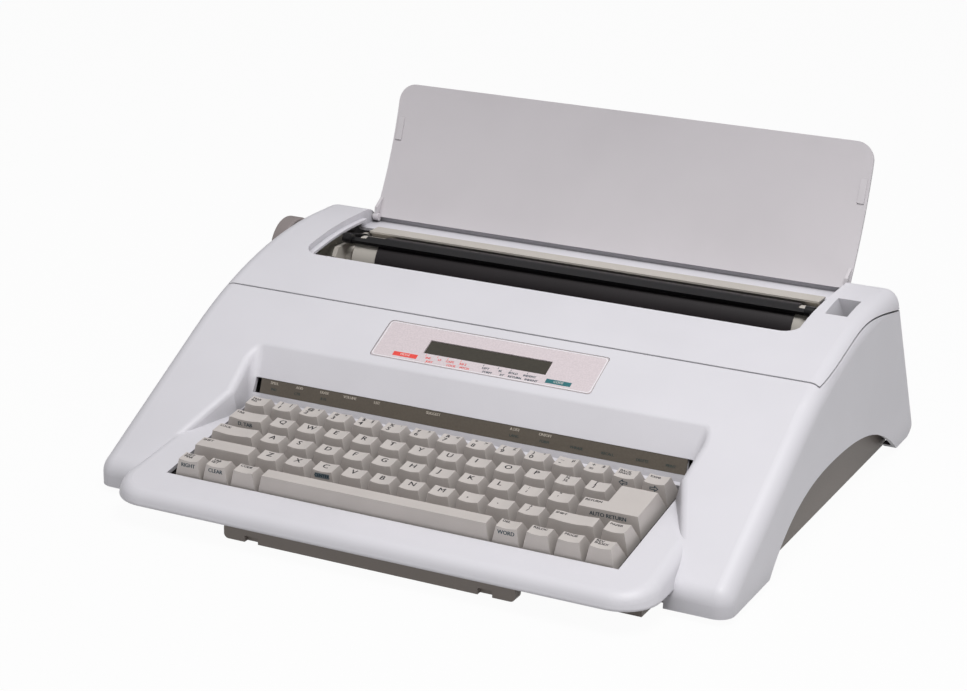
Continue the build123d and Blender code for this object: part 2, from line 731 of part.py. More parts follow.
# Paper lid, drawn in its open position
LID_RAD = radians(LID_OPEN_ANGLE)
LID_PLANE = Plane(
    origin=(0, LID_AXIS_Y, LID_AXIS_Z),
    x_dir=(0, cos(LID_RAD), sin(LID_RAD)),
    z_dir=(-1, 0, 0),
)
LID_FLAT = Plane(
    origin=(0, LID_AXIS_Y, LID_AXIS_Z),
    x_dir=(1, 0, 0),
    z_dir=(0, sin(LID_RAD), -cos(LID_RAD)),
)
LID_MID = LID_LENGTH / 2
with BuildPart() as paper_lid:
    near, middle, far = LID_RISE
    with BuildSketch(LID_PLANE):
        with BuildLine():
            ThreePointArc((0, near), (LID_MID, middle), (LID_LENGTH, far))
            Line((LID_LENGTH, far), (LID_LENGTH, far - LID_THICK))
            ThreePointArc(
                (LID_LENGTH, far - LID_THICK), (LID_MID, middle - LID_THICK), (0, near - LID_THICK)
            )
            Line((0, near - LID_THICK), (0, near))
        make_face()
    extrude(amount=LID_HALF + LID_TRIM, both=True)
    with BuildSketch(LID_FLAT.offset(-LID_CORNER)) as plan:
        with Locations((0, -LID_MID)):
            Rectangle(2 * LID_HALF, LID_LENGTH - 2 * LID_TRIM)
        fillet(plan.vertices().group_by(Axis.Y)[0], LID_CORNER)
    extrude(amount=2 * LID_CORNER, mode=Mode.INTERSECT)
    for side in (-1, 1):
        knuckle = side * (LID_HALF - LID_KNUCKLE_LONG / 2)
        knuckle_x = (knuckle - LID_KNUCKLE_LONG / 2, knuckle + LID_KNUCKLE_LONG / 2)
        rod(knuckle_x[0], knuckle_x[1], LID_KNUCKLE_R, LID_AXIS_Y, LID_AXIS_Z)
        pin = side * LID_HALF
        rod(pin - LID_PIN_LONG / 2, pin + LID_PIN_LONG / 2, LID_PIN_R, LID_AXIS_Y, LID_AXIS_Z)
        with BuildSketch(LID_PLANE.offset(-side * (LID_HALF - LID_FOOT_IN) - LID_FOOT_THICK / 2)):
            with BuildLine():
                Polyline(*LID_FOOT, close=True)
            make_face()
        extrude(amount=LID_FOOT_THICK)
        with BuildSketch(LID_PLANE.offset(-side * (LID_HALF - LID_HOOK_IN) - LID_HOOK_WIDE / 2)):
            with BuildLine():
                Polyline(*LID_HOOK, close=True)
            make_face()
        extrude(amount=LID_HOOK_WIDE)
save(paper_lid, "paper_lid")

# Base tray
with BuildPart() as base_tray:
    block((-BASE_HALF, BASE_HALF), (BASE_WING_Y, BASE_REAR_Y), (BASE_Z, FLOOR_Z))
    block((-BASE_FRONT_HALF, BASE_FRONT_HALF), (BASE_FRONT_Y, BASE_WING_Y + 1), (BASE_Z, FLOOR_Z))
    for side in (-1, 1):
        wall = (side * BASE_HALF, side * (BASE_HALF - WALL))
        block((min(wall), max(wall)), (BASE_SIDE_Y, BASE_REAR_Y), (BASE_Z, BASE_SIDE_Z))
    block((-BASE_HALF, BASE_HALF), (BASE_REAR_Y - WALL, BASE_REAR_Y), (BASE_Z, BASE_SIDE_Z))
    block(
        (-BASE_FRONT_HALF, BASE_FRONT_HALF),
        (BASE_FRONT_Y, BASE_FRONT_Y + WALL),
        (BASE_Z, BASE_FRONT_WALL_Z),
    )
    for side in (-1, 1):
        centre = side * HANDLE_ARM_X
        reach = HANDLE_ARM_WIDE / 2 + HANDLE_CLEAR
        block(
            (centre - reach, centre + reach),
            (BASE_FRONT_Y - 1, BASE_FRONT_Y + WALL + 1),
            (FLOOR_Z, FLOOR_Z + HANDLE_ARM_THICK + 2 * HANDLE_CLEAR),
            mode=Mode.SUBTRACT,
        )
        for edge in (-1, 1):
            rail = centre + edge * (reach + 1)
            block(
                (rail - 1, rail + 1),
                (BASE_FRONT_Y + WALL, HANDLE_ARM_REAR_Y + 4),
                (FLOOR_Z - 0.5, FLOOR_Z + HANDLE_ARM_THICK),
            )
    block(
        (GLAND_X - 2 * GLAND_R, GLAND_X + 2 * GLAND_R),
        (BASE_REAR_Y - WALL - 1, BASE_REAR_Y + 1),
        (GLAND_Z - 2 * GLAND_R, BASE_SIDE_Z + 1),
        mode=Mode.SUBTRACT,
    )
    with BuildSketch(Plane.XY.offset(FLOOR_Z - 0.5)):
        with Locations(*POST_SPOTS):
            Circle(POST_R)
    extrude(amount=POST_Z - FLOOR_Z + 0.5)
    with BuildSketch(Plane.XY.offset(FLOOR_Z - 0.5)):
        with Locations(*BOARD_POSTS):
            Circle(3)
    extrude(amount=MAIN_BOARD_Z - FLOOR_Z + 0.5)
    with BuildSketch(Plane.XY):
        with Locations(*POST_SPOTS):
            Circle(SCREW_R + SCREW_CLEAR)
    extrude(amount=POST_Z + 1, mode=Mode.SUBTRACT)
    with BuildSketch(Plane.XY):
        with Locations(*POST_SPOTS):
            Circle(SCREW_HEAD_R + SCREW_CLEAR)
    extrude(amount=BASE_Z + SCREW_HEAD + SCREW_SINK, mode=Mode.SUBTRACT)
save(base_tray, "base_tray")

# Rubber feet
with BuildPart() as rubber_feet:
    with BuildSketch():
        with Locations(*FOOT_SPOTS):
            Circle(FOOT_R)
    extrude(amount=BASE_Z)
save(rubber_feet, "rubber_feet")

# Case screws
with BuildPart() as case_screws:
    head_top = BASE_Z + SCREW_HEAD + SCREW_SINK
    with BuildSketch(Plane.XY.offset(head_top - SCREW_HEAD)):
        with Locations(*POST_SPOTS):
            Circle(SCREW_HEAD_R)
    extrude(amount=SCREW_HEAD)
    with BuildSketch(Plane.XY.offset(head_top)):
        with Locations(*POST_SPOTS):
            Circle(SCREW_R)
    extrude(amount=SCREW_LONG - SCREW_HEAD)
    with BuildSketch(Plane.XY.offset(head_top - SCREW_HEAD)):
        with Locations(*POST_SPOTS):
            Rectangle(SCREW_CROSS[0], SCREW_CROSS[1])
            Rectangle(SCREW_CROSS[1], SCREW_CROSS[0])
    extrude(amount=1, mode=Mode.SUBTRACT)
save(case_screws, "case_screws")

# Carry handle, pushed in
with BuildPart() as carry_handle:
    with BuildSketch(Plane.XZ.offset(-HANDLE_Y[0])) as bar:
        with Locations((0, (HANDLE_Z[0] + HANDLE_Z[1]) / 2)):
            Rectangle(2 * HANDLE_HALF, HANDLE_Z[1] - HANDLE_Z[0])
        fillet(bar.vertices(), HANDLE_ROUND)
    extrude(amount=-(HANDLE_Y[1] - HANDLE_Y[0]))
    for side in (-1, 1):
        notch = (side * HANDLE_NOTCH_X[0], side * HANDLE_NOTCH_X[1])
        block(
            (min(notch), max(notch)),
            (HANDLE_Y[0] - 1, HANDLE_Y[0] + HANDLE_NOTCH_DEEP),
            (0, HANDLE_NOTCH_Z),
            mode=Mode.SUBTRACT,
        )
        centre = side * HANDLE_ARM_X
        reach = HANDLE_ARM_WIDE / 2
        arm_z = (FLOOR_Z + HANDLE_CLEAR, FLOOR_Z + HANDLE_CLEAR + HANDLE_ARM_THICK)
        block((centre - reach, centre + reach), (HANDLE_Y[0] + 2, HANDLE_ARM_REAR_Y), arm_z)
save(carry_handle, "carry_handle")

# Display panel, display module and function strip
with BuildPart() as display_panel:
    with BuildSketch(PANEL_PLANE.offset(-PANEL_THICK)):
        RectangleRounded(PANEL_SIZE[0], PANEL_SIZE[1], PANEL_CORNER)
        with Locations((0, WINDOW_V)):
            Rectangle(WINDOW_SIZE[0], WINDOW_SIZE[1], mode=Mode.SUBTRACT)
    extrude(amount=PANEL_THICK)
save(display_panel, "display_panel")

with BuildPart() as lcd_module:
    with BuildSketch(PANEL_PLANE.offset(-LCD_DEEP)):
        with Locations((0, WINDOW_V)):
            Rectangle(WINDOW_SIZE[0] + 14, WINDOW_SIZE[1] + 9)
    extrude(amount=LCD_DEEP - LCD_SEAT)
    with BuildSketch(PANEL_PLANE.offset(-LCD_SEAT - 0.2)):
        with Locations((0, WINDOW_V)):
            Rectangle(WINDOW_SIZE[0] - 0.4, WINDOW_SIZE[1] - 0.4)
    extrude(amount=LCD_SEAT - 0.5)
save(lcd_module, "lcd_module")

with BuildPart() as function_strip:
    with BuildSketch(STRIP_PLANE.offset(-STRIP_THICK)):
        Rectangle(2 * STRIP_HALF, STRIP_WIDE)
    extrude(amount=STRIP_THICK - STRIP_SUNK)
save(function_strip, "function_strip")

# Power switch in the left wall
with BuildPart() as power_switch:
    half_y = SWITCH_SIZE[0] / 2 - SWITCH_PLAY
    half_z = SWITCH_SIZE[1] / 2 - SWITCH_PLAY
    y_span = (SWITCH_Y - half_y, SWITCH_Y + half_y)
    z_span = (SWITCH_Z - half_z, SWITCH_Z + half_z)
    block((-HALF, -HALF + SWITCH_DEEP), y_span, z_span)
    block(
        (-HALF - BEZEL_PROUD, -HALF),
        (y_span[0] - BEZEL_WIDE, y_span[1] + BEZEL_WIDE),
        (z_span[0] - BEZEL_WIDE, z_span[1] + BEZEL_WIDE),
    )
    block(
        (-HALF - 2, -HALF + ROCKER_R + 1.5),
        (SWITCH_Y - ROCKER_WIDE / 2 - 0.4, SWITCH_Y + ROCKER_WIDE / 2 + 0.4),
        (SWITCH_Z - ROCKER_R - 0.5, SWITCH_Z + ROCKER_R + 0.5),
        mode=Mode.SUBTRACT,
    )
    with BuildSketch(Plane.XZ.offset(-y_span[0] - 0.5)):
        with Locations((ROCKER_X, SWITCH_Z)):
            Circle(1.2)
    extrude(amount=-(y_span[1] - y_span[0] - 1))
save(power_switch, "power_switch")

with BuildPart() as switch_rocker:
    face = -HALF - 1.4 - ROCKER_X
    with BuildSketch(Plane.XZ.offset(-SWITCH_Y + ROCKER_WIDE / 2)) as profile:
        with Locations(Location((ROCKER_X, SWITCH_Z, 0), (0, 0, ROCKER_TILT))):
            Circle(ROCKER_R)
            with BuildLine(mode=Mode.PRIVATE) as keep:
                Polyline(
                    (face + 1.0, 0),
                    (face, ROCKER_R),
                    (3, ROCKER_R),
                    (3, -ROCKER_R),
                    (face, -ROCKER_R),
                    close=True,
                )
            add(make_face(keep.edges(), mode=Mode.PRIVATE), mode=Mode.INTERSECT)
            Circle(1.2 + RUN_CLEAR, mode=Mode.SUBTRACT)
    extrude(amount=-ROCKER_WIDE)
save(switch_rocker, "switch_rocker")

# Cord gland in the back wall
with BuildPart() as cord_gland:
    gland_y = rear_y(GLAND_Z)
    with BuildSketch(Plane.XZ.offset(-gland_y + 12)):
        with Locations((GLAND_X, GLAND_Z)):
            Circle(GLAND_R)
    extrude(amount=-18)
    with BuildSketch(Plane.XZ.offset(-gland_y + 14)):
        with Locations((GLAND_X, GLAND_Z)):
            Circle(GLAND_BORE_R)
    extrude(amount=-24, mode=Mode.SUBTRACT)
save(cord_gland, "cord_gland")


def gear_angle(radius, pitch_r, teeth):
    """Half the angle a tooth spans at a radius, with a little play."""
    base_r = pitch_r * cos(radians(20))
    press = acos(min(1, base_r / max(radius, base_r)))
    spread = tan(radians(20)) - radians(20) - tan(press) + press
    return pi / (2 * teeth) - GEAR_PLAY / (2 * pitch_r) + spread


def gear_outline(teeth, turn):
    """Corner points of a spur gear whose first tooth points along an angle."""
    pitch_r = GEAR_MODULE * teeth / 2
    root_r = pitch_r - 1.2 * GEAR_MODULE
    tip_r = pitch_r + 0.85 * GEAR_MODULE
    points = []
    for index in range(teeth):
        middle = turn + 2 * pi * index / teeth
        for radius, sign in ((root_r, -1), (tip_r, -1), (tip_r, 1), (root_r, 1)):
            angle = middle + sign * gear_angle(radius, pitch_r, teeth)
            points.append((radius * cos(angle), radius * sin(angle)))
    return points


def add_gear(teeth, turn, y, z):
    """A spur gear on a shaft along X."""
    with BuildSketch(Plane.YZ.offset(GEAR_X)) as disc:
        with Locations((y, z)):
            with BuildLine(mode=Mode.PRIVATE) as outline:
                Polyline(*gear_outline(teeth, turn), close=True)
            add(make_face(outline.edges(), mode=Mode.PRIVATE))
    extrude(disc.sketch, amount=GEAR_WIDE)


# Where the idler gear sits between the platen gear and the motor pinion
GEAR_SPAN = hypot(LINE_MOTOR_Y - PLATEN_Y, LINE_MOTOR_Z - PLATEN_Z)
PLATEN_IDLER = GEAR_MODULE * (PLATEN_TEETH + IDLER_TEETH) / 2
IDLER_PINION = GEAR_MODULE * (IDLER_TEETH + PINION_TEETH) / 2
GEAR_BEARING = atan2(LINE_MOTOR_Z - PLATEN_Z, LINE_MOTOR_Y - PLATEN_Y)
IDLER_SWING = acos(
    (PLATEN_IDLER**2 + GEAR_SPAN**2 - IDLER_PINION**2) / (2 * PLATEN_IDLER * GEAR_SPAN)
)
IDLER_DIR = GEAR_BEARING - IDLER_SWING
IDLER_Y = PLATEN_Y + PLATEN_IDLER * cos(IDLER_DIR)
IDLER_Z = PLATEN_Z + PLATEN_IDLER * sin(IDLER_DIR)
PINION_DIR = atan2(LINE_MOTOR_Z - IDLER_Z, LINE_MOTOR_Y - IDLER_Y)
IDLER_TURN = IDLER_DIR + pi - pi / IDLER_TEETH
IDLER_PHASE = (PINION_DIR - IDLER_TURN) * IDLER_TEETH / (2 * pi)
PINION_TURN = PINION_DIR + pi - (0.5 - IDLER_PHASE) * 2 * pi / PINION_TEETH

# Feed roller axle under the platen
FEED_DIR = radians(FEED_ANGLE)
FEED_REACH = PLATEN_R + FEED_GAP + FEED_ROLLER_R
FEED_Y = PLATEN_Y + FEED_REACH * cos(FEED_DIR)
FEED_Z = PLATEN_Z + FEED_REACH * sin(FEED_DIR)

# Side frames with their studs and the platen bearings
FRAME_OUTLINE = (
    (14.0, FLOOR_Z), (146.0, FLOOR_Z), (146.0, 54.0), (128.0, 70.0), (125.0, 102.5), (80.0, 102.5),
    (76.0, 97.0), (82.0, 88.0), (80.0, 60.0), (66.0, 46.0), (14.0, 46.0),
)
with BuildPart() as side_frames:
    for inner, sign, arm_x in (
        (FRAME_LEFT_X + FRAME_THICK, -1, BAIL_X[0] + BAIL_ARM),
        (FRAME_RIGHT_X, 1, BAIL_X[1] - BAIL_ARM),
    ):
        near = min(inner, inner + sign * FRAME_THICK)
        side_plate(near, FRAME_THICK, FRAME_OUTLINE)
        block((inner - 5 - sign * 5, inner + 5 - sign * 5), (18, 144), (FLOOR_Z, FLOOR_Z + 2))
        bearing = (inner, inner - sign * BEARING_LONG)
        rod(min(bearing), max(bearing), BEARING_R, PLATEN_Y, PLATEN_Z)
        cut = (near - BEARING_LONG - 1, near + FRAME_THICK + BEARING_LONG + 1)
        rod(cut[0], cut[1], SHAFT_R + RUN_CLEAR, PLATEN_Y, PLATEN_Z, mode=Mode.SUBTRACT)
        rod(cut[0], cut[1], CARRIER_PIN_R + RUN_CLEAR, CARRIER_Y, CARRIER_Z, mode=Mode.SUBTRACT)
        for rail_y in RAIL_YS:
            rod(cut[0], cut[1], RAIL_R, rail_y, RAIL_Z, mode=Mode.SUBTRACT)
        stud = (inner, arm_x - sign * STUD_END)
        rod(min(stud), max(stud), BAIL_STUD_R, BAIL_Y, BAIL_Z)
    rod(
        FRAME_LEFT_X - 1, FRAME_LEFT_X + FRAME_THICK + 1, MOTOR_SHAFT_R + 1,
        LINE_MOTOR_Y, LINE_MOTOR_Z, mode=Mode.SUBTRACT,
    )
    rod(GEAR_X - 1, FRAME_LEFT_X + 1, BAIL_STUD_R, IDLER_Y, IDLER_Z)
    rod(FRAME_RIGHT_X + 1, LEVER_X + LEVER_THICK + 1, BAIL_STUD_R, LEVER_Y, LEVER_Z)
save(side_frames, "side_frames")

# Platen: shaft, core with end pieces, rubber, gear and knob
with BuildPart() as platen_shaft:
    rod(KNOB_X[0] + SHAFT_SEAT, FRAME_RIGHT_X + FRAME_THICK + 1.5, SHAFT_R, PLATEN_Y, PLATEN_Z)
save(platen_shaft, "platen_shaft")

with BuildPart() as platen_core:
    rod(PLATEN_X[0], PLATEN_X[1], PLATEN_CORE_R, PLATEN_Y, PLATEN_Z)
    rod(END_PIECE_X[0], PLATEN_X[0], END_PIECE_R, PLATEN_Y, PLATEN_Z)
    rod(PLATEN_X[1], END_PIECE_X[1], END_PIECE_R, PLATEN_Y, PLATEN_Z)
    rod(END_PIECE_X[0], END_PIECE_X[1], SHAFT_R, PLATEN_Y, PLATEN_Z, mode=Mode.SUBTRACT)
save(platen_core, "platen_core")

with BuildPart() as platen_roller:
    rod(PLATEN_X[0], PLATEN_X[1], PLATEN_R, PLATEN_Y, PLATEN_Z)
    rod(PLATEN_X[0], PLATEN_X[1], PLATEN_CORE_R, PLATEN_Y, PLATEN_Z, mode=Mode.SUBTRACT)
save(platen_roller, "platen_roller")

with BuildPart() as platen_gear:
    add_gear(PLATEN_TEETH, IDLER_DIR, PLATEN_Y, PLATEN_Z)
    rod(GEAR_X, GEAR_X + GEAR_WIDE + 4, SHAFT_R + 3, PLATEN_Y, PLATEN_Z)
    rod(GEAR_X - 1, GEAR_X + GEAR_WIDE + 5, SHAFT_R, PLATEN_Y, PLATEN_Z, mode=Mode.SUBTRACT)
save(platen_gear, "platen_gear")

with BuildPart() as platen_knob:
    rod(KNOB_X[0], KNOB_X[1], KNOB_R, PLATEN_Y, PLATEN_Z)
    fillet(platen_knob.edges(), KNOB_ROUND)
    rod(KNOB_X[0] + SHAFT_SEAT, KNOB_X[1] + 1, SHAFT_R, PLATEN_Y, PLATEN_Z, mode=Mode.SUBTRACT)
save(platen_knob, "platen_knob")

# Line feed gears and motor
with BuildPart() as line_feed_idler:
    add_gear(IDLER_TEETH, IDLER_TURN, IDLER_Y, IDLER_Z)
    bore = BAIL_STUD_R + RUN_CLEAR
    rod(GEAR_X - 1, GEAR_X + GEAR_WIDE + 1, bore, IDLER_Y, IDLER_Z, mode=Mode.SUBTRACT)
save(line_feed_idler, "line_feed_idler")

with BuildPart() as line_feed_pinion:
    add_gear(PINION_TEETH, PINION_TURN, LINE_MOTOR_Y, LINE_MOTOR_Z)
    rod(GEAR_X - 1, FRAME_LEFT_X + FRAME_THICK + 8, MOTOR_SHAFT_R, LINE_MOTOR_Y, LINE_MOTOR_Z)
save(line_feed_pinion, "line_feed_pinion")

with BuildPart() as line_feed_motor:
    face_x = FRAME_LEFT_X + FRAME_THICK
    rod(face_x, face_x + 28, LINE_MOTOR_R, LINE_MOTOR_Y, LINE_MOTOR_Z)
    bore = MOTOR_SHAFT_R + RUN_CLEAR
    rod(face_x - 1, face_x + 9, bore, LINE_MOTOR_Y, LINE_MOTOR_Z, mode=Mode.SUBTRACT)
save(line_feed_motor, "line_feed_motor")

# Feed rollers and the carrier that presses them on the platen
with BuildPart() as feed_rollers:
    rod(FEED_XS[0] - FEED_LONG, FEED_XS[-1] + FEED_LONG, FEED_SHAFT_R, FEED_Y, FEED_Z)
    for roller_x in FEED_XS:
        rod(roller_x - FEED_LONG / 2, roller_x + FEED_LONG / 2, FEED_ROLLER_R, FEED_Y, FEED_Z)
save(feed_rollers, "feed_rollers")

with BuildPart() as feed_roller_carrier:
    block(
        (FRAME_LEFT_X + FRAME_THICK + 1, FRAME_RIGHT_X - 1),
        (CARRIER_Y - 4, CARRIER_Y + 4),
        (CARRIER_Z - 3, CARRIER_Z + 3),
    )
    pin_x = (FRAME_LEFT_X + 0.5, FRAME_RIGHT_X + FRAME_THICK - 0.5)
    rod(pin_x[0], pin_x[1], CARRIER_PIN_R, CARRIER_Y, CARRIER_Z)
    for roller_x in FEED_XS:
        ear_x = roller_x + FEED_LONG / 2 + 1.5
        side_plate(
            ear_x, EAR_THICK,
            (
                (CARRIER_Y - 3, CARRIER_Z - 2.5), (CARRIER_Y - 3, CARRIER_Z + 3),
                (FEED_Y + 1, FEED_Z + 3.4), (FEED_Y - 3.4, FEED_Z + 1), (FEED_Y - 2, FEED_Z - 3.4),
            ),
        )
        bore = FEED_SHAFT_R + RUN_CLEAR
        rod(ear_x - 1, ear_x + EAR_THICK + 1, bore, FEED_Y, FEED_Z, mode=Mode.SUBTRACT)
save(feed_roller_carrier, "feed_roller_carrier")

# Paper pan wrapped round the back of the platen
with BuildPart() as paper_pan:
    half_turn = (PAN_LIP_ANGLE - PAN_END_ANGLE) / 2
    stations = [radians(PAN_LIP_ANGLE - step * half_turn) for step in (0, 1, 2)]
    inner = [(PLATEN_Y + PAN_R * cos(a), PLATEN_Z + PAN_R * sin(a)) for a in stations]
    outer_r = PAN_R + PAN_THICK
    outer = [(PLATEN_Y + outer_r * cos(a), PLATEN_Z + outer_r * sin(a)) for a in stations]
    with BuildSketch(Plane.YZ.offset(FRAME_LEFT_X + FRAME_THICK)):
        with BuildLine():
            ThreePointArc(*inner)
            Line(inner[2], outer[2])
            ThreePointArc(outer[2], outer[1], outer[0])
            Line(outer[0], inner[0])
        make_face()
    extrude(amount=FRAME_RIGHT_X - FRAME_LEFT_X - FRAME_THICK)
    lip_y, lip_z = inner[0]
    block(PAN_X, (lip_y, LEDGE_FRONT_Y - 2), (lip_z, lip_z + PAN_THICK))
    for span in ((FRAME_LEFT_X, PAN_X[0]), (PAN_X[1], FRAME_RIGHT_X + 1)):
        block(span, (PLATEN_Y, PLATEN_Y + 40), (PLATEN_Z - 8, PLATEN_Z + 40), mode=Mode.SUBTRACT)
    for roller_x in FEED_XS:
        block(
            (roller_x - FEED_LONG / 2 - 2, roller_x + FEED_LONG / 2 + EAR_THICK + 3),
            (FEED_Y - 7.5, FEED_Y + 7.5),
            (FEED_Z - 5, FEED_Z + 7),
            mode=Mode.SUBTRACT,
        )
save(paper_pan, "paper_pan")

# Paper bail
with BuildPart() as paper_bail:
    side_plate(BAIL_X[0], BAIL_X[1] - BAIL_X[0], BAIL_TAIL)
    side_plate(
        BAIL_X[0] + BAIL_TAIL_LONG[0],
        BAIL_X[1] - BAIL_X[0] - sum(BAIL_TAIL_LONG),
        BAIL_BAR,
    )
    for arm_x, boss_x in (
        (BAIL_X[0], BAIL_X[0]),
        (BAIL_X[1] - BAIL_ARM, BAIL_X[1] - BAIL_BOSS_LONG),
    ):
        side_plate(arm_x, BAIL_ARM, BAIL_LEG)
        rod(boss_x, boss_x + BAIL_BOSS_LONG, BAIL_BOSS_R, BAIL_BOSS[0], BAIL_BOSS[1])
        bore = BAIL_STUD_R + RUN_CLEAR
        rod(arm_x - 1, arm_x + BAIL_ARM + 1, bore, BAIL_Y, BAIL_Z, mode=Mode.SUBTRACT)
save(paper_bail, "paper_bail")

# Paper release lever
with BuildPart() as release_lever:
    rod(LEVER_X, LEVER_X + LEVER_THICK, 6, LEVER_Y, LEVER_Z)
    side_plate(
        LEVER_X, LEVER_THICK,
        (
            (LEVER_Y - 5, LEVER_Z), (LEVER_Y + 5, LEVER_Z), (LEVER_TIP_Y + 4, LEVER_TIP_Z),
            (LEVER_TIP_Y - 4, LEVER_TIP_Z),
        ),
    )
    bore = BAIL_STUD_R + RUN_CLEAR
    rod(LEVER_X - 1, LEVER_X + LEVER_THICK + 1, bore, LEVER_Y, LEVER_Z, mode=Mode.SUBTRACT)
save(release_lever, "release_lever")

# Guide rails and cross plate
with BuildPart() as guide_rails:
    for rail_y in RAIL_YS:
        rod(FRAME_LEFT_X, FRAME_RIGHT_X + FRAME_THICK, RAIL_R, rail_y, RAIL_Z)
save(guide_rails, "guide_rails")

with BuildPart() as cross_plate:
    block(
        (FRAME_LEFT_X, FRAME_RIGHT_X + FRAME_THICK),
        (CROSS_Y, CROSS_Y + CROSS_THICK),
        (FLOOR_Z, CROSS_TOP_Z),
    )
    with BuildSketch(Plane.XZ.offset(-CROSS_Y + 1)):
        with Locations((PULLEY_X[0], PULLEY_Z)):
            Circle(MOTOR_SHAFT_R + 1)
    extrude(amount=-CROSS_THICK - 2, mode=Mode.SUBTRACT)
    with BuildSketch(Plane.XZ.offset(-CROSS_Y)):
        with Locations((PULLEY_X[1], PULLEY_Z)):
            Circle(BAIL_STUD_R)
    extrude(amount=-(BELT_Y + BELT_WIDE + 1 - CROSS_Y))
    block(
        (MAIN_BOARD_X[0] - 2, MAIN_BOARD_X[1] + 2),
        (CROSS_Y - 1, CROSS_Y + CROSS_THICK + 1),
        (0, MAIN_BOARD_Z + BOARD_THICK + 8),
        mode=Mode.SUBTRACT,
    )
    for side in (FRAME_LEFT_X, FRAME_RIGHT_X):
        block((side, side + FRAME_THICK), (CROSS_Y, 14), (FLOOR_Z, CROSS_TOP_Z - 24))
save(cross_plate, "cross_plate")

# Carriage with its belt clamp, hammer guide and wheel plate
with BuildPart() as carriage:
    x_span = (CARRIAGE_X - CARRIAGE_HALF, CARRIAGE_X + CARRIAGE_HALF)
    block(x_span, CARRIAGE_Y, (RAIL_Z - 7, RAIL_Z + 7))
    block(x_span, PLATE_Y, (RAIL_Z, CASSETTE_Z[0]))
    block((CARRIAGE_X - 7, CARRIAGE_X + 7), HAMMER_GUIDE_Y, (CASSETTE_Z[0] - 4, HAMMER_Z + 5))
    lug = (CARRIAGE_X - 7, CARRIAGE_X + 7)
    run_z = PULLEY_Z + PULLEY_R
    block(lug, (BELT_Y - 1, CARRIAGE_Y[0] + 4), (RAIL_Z, run_z + BELT_THICK + 4))
    block(
        (lug[0] - 1, lug[1] + 1),
        (BELT_Y - 2, BELT_Y + BELT_WIDE + 0.5),
        (run_z - 0.4, run_z + BELT_THICK + 0.4),
        mode=Mode.SUBTRACT,
    )
    block(
        (lug[0] - 1, lug[1] + 1),
        (BELT_Y - 2, BELT_Y + BELT_WIDE + 0.5),
        (0, run_z - 4),
        mode=Mode.SUBTRACT,
    )
    for rail_y in RAIL_YS:
        rod(x_span[0] - 1, x_span[1] + 1, RAIL_R + RUN_CLEAR, rail_y, RAIL_Z, mode=Mode.SUBTRACT)
    with BuildSketch(Plane.XZ.offset(-PLATE_Y[0] + 1)):
        with Locations((CARRIAGE_X, WHEEL_Z)):
            Circle(MOTOR_SHAFT_R + 1.5)
    extrude(amount=-20, mode=Mode.SUBTRACT)
    with BuildSketch(Plane.XZ.offset(-HAMMER_GUIDE_Y[0] + 1)):
        with Locations((CARRIAGE_X, HAMMER_Z)):
            Circle(HAMMER_R + RUN_CLEAR)
    extrude(amount=-40, mode=Mode.SUBTRACT)
save(carriage, "carriage")

# Type wheel motor, type wheel and hammer
with BuildPart() as type_wheel_motor:
    with BuildSketch(Plane.XZ.offset(-PLATE_Y[0] + WHEEL_MOTOR_LONG)):
        with Locations((CARRIAGE_X, WHEEL_Z)):
            Circle(WHEEL_MOTOR_R)
    extrude(amount=-WHEEL_MOTOR_LONG)
    with BuildSketch(Plane.XZ.offset(-PLATE_Y[0] + 10)):
        with Locations((CARRIAGE_X, WHEEL_Z)):
            Circle(MOTOR_SHAFT_R + RUN_CLEAR)
    extrude(amount=-12, mode=Mode.SUBTRACT)
save(type_wheel_motor, "type_wheel_motor")

with BuildPart() as type_wheel:
    with BuildSketch(Plane.XZ.offset(-WHEEL_Y)):
        with Locations((CARRIAGE_X, WHEEL_Z)):
            Circle(WHEEL_HUB_R)
            with PolarLocations((WHEEL_HUB_R + WHEEL_R) / 2 - 0.25, PETALS):
                Rectangle(WHEEL_R - WHEEL_HUB_R + 0.5, PETAL_WIDE)
    extrude(amount=-WHEEL_THICK)
    with BuildSketch(Plane.XZ.offset(-PLATE_Y[1] - 1)):
        with Locations((CARRIAGE_X, WHEEL_Z)):
            Circle(5)
    extrude(amount=-(WHEEL_Y - PLATE_Y[1] - 1 + 3))
    with BuildSketch(Plane.XZ.offset(-PLATE_Y[0] + 8)):
        with Locations((CARRIAGE_X, WHEEL_Z)):
            Circle(MOTOR_SHAFT_R)
    extrude(amount=-(WHEEL_Y - PLATE_Y[0] + 8))
save(type_wheel, "type_wheel")

with BuildPart() as hammer:
    with BuildSketch(Plane.XZ.offset(-HAMMER_GUIDE_Y[0] + 8)):
        with Locations((CARRIAGE_X, HAMMER_Z)):
            Circle(HAMMER_R)
    extrude(amount=-(WHEEL_Y - HAMMER_GAP - HAMMER_GUIDE_Y[0] + 8))
    with BuildSketch(Plane.XZ.offset(-HAMMER_GUIDE_Y[0] + 8)):
        with Locations((CARRIAGE_X, HAMMER_Z)):
            Circle(HAMMER_R + 1.5)
    extrude(amount=-2)
save(hammer, "hammer")

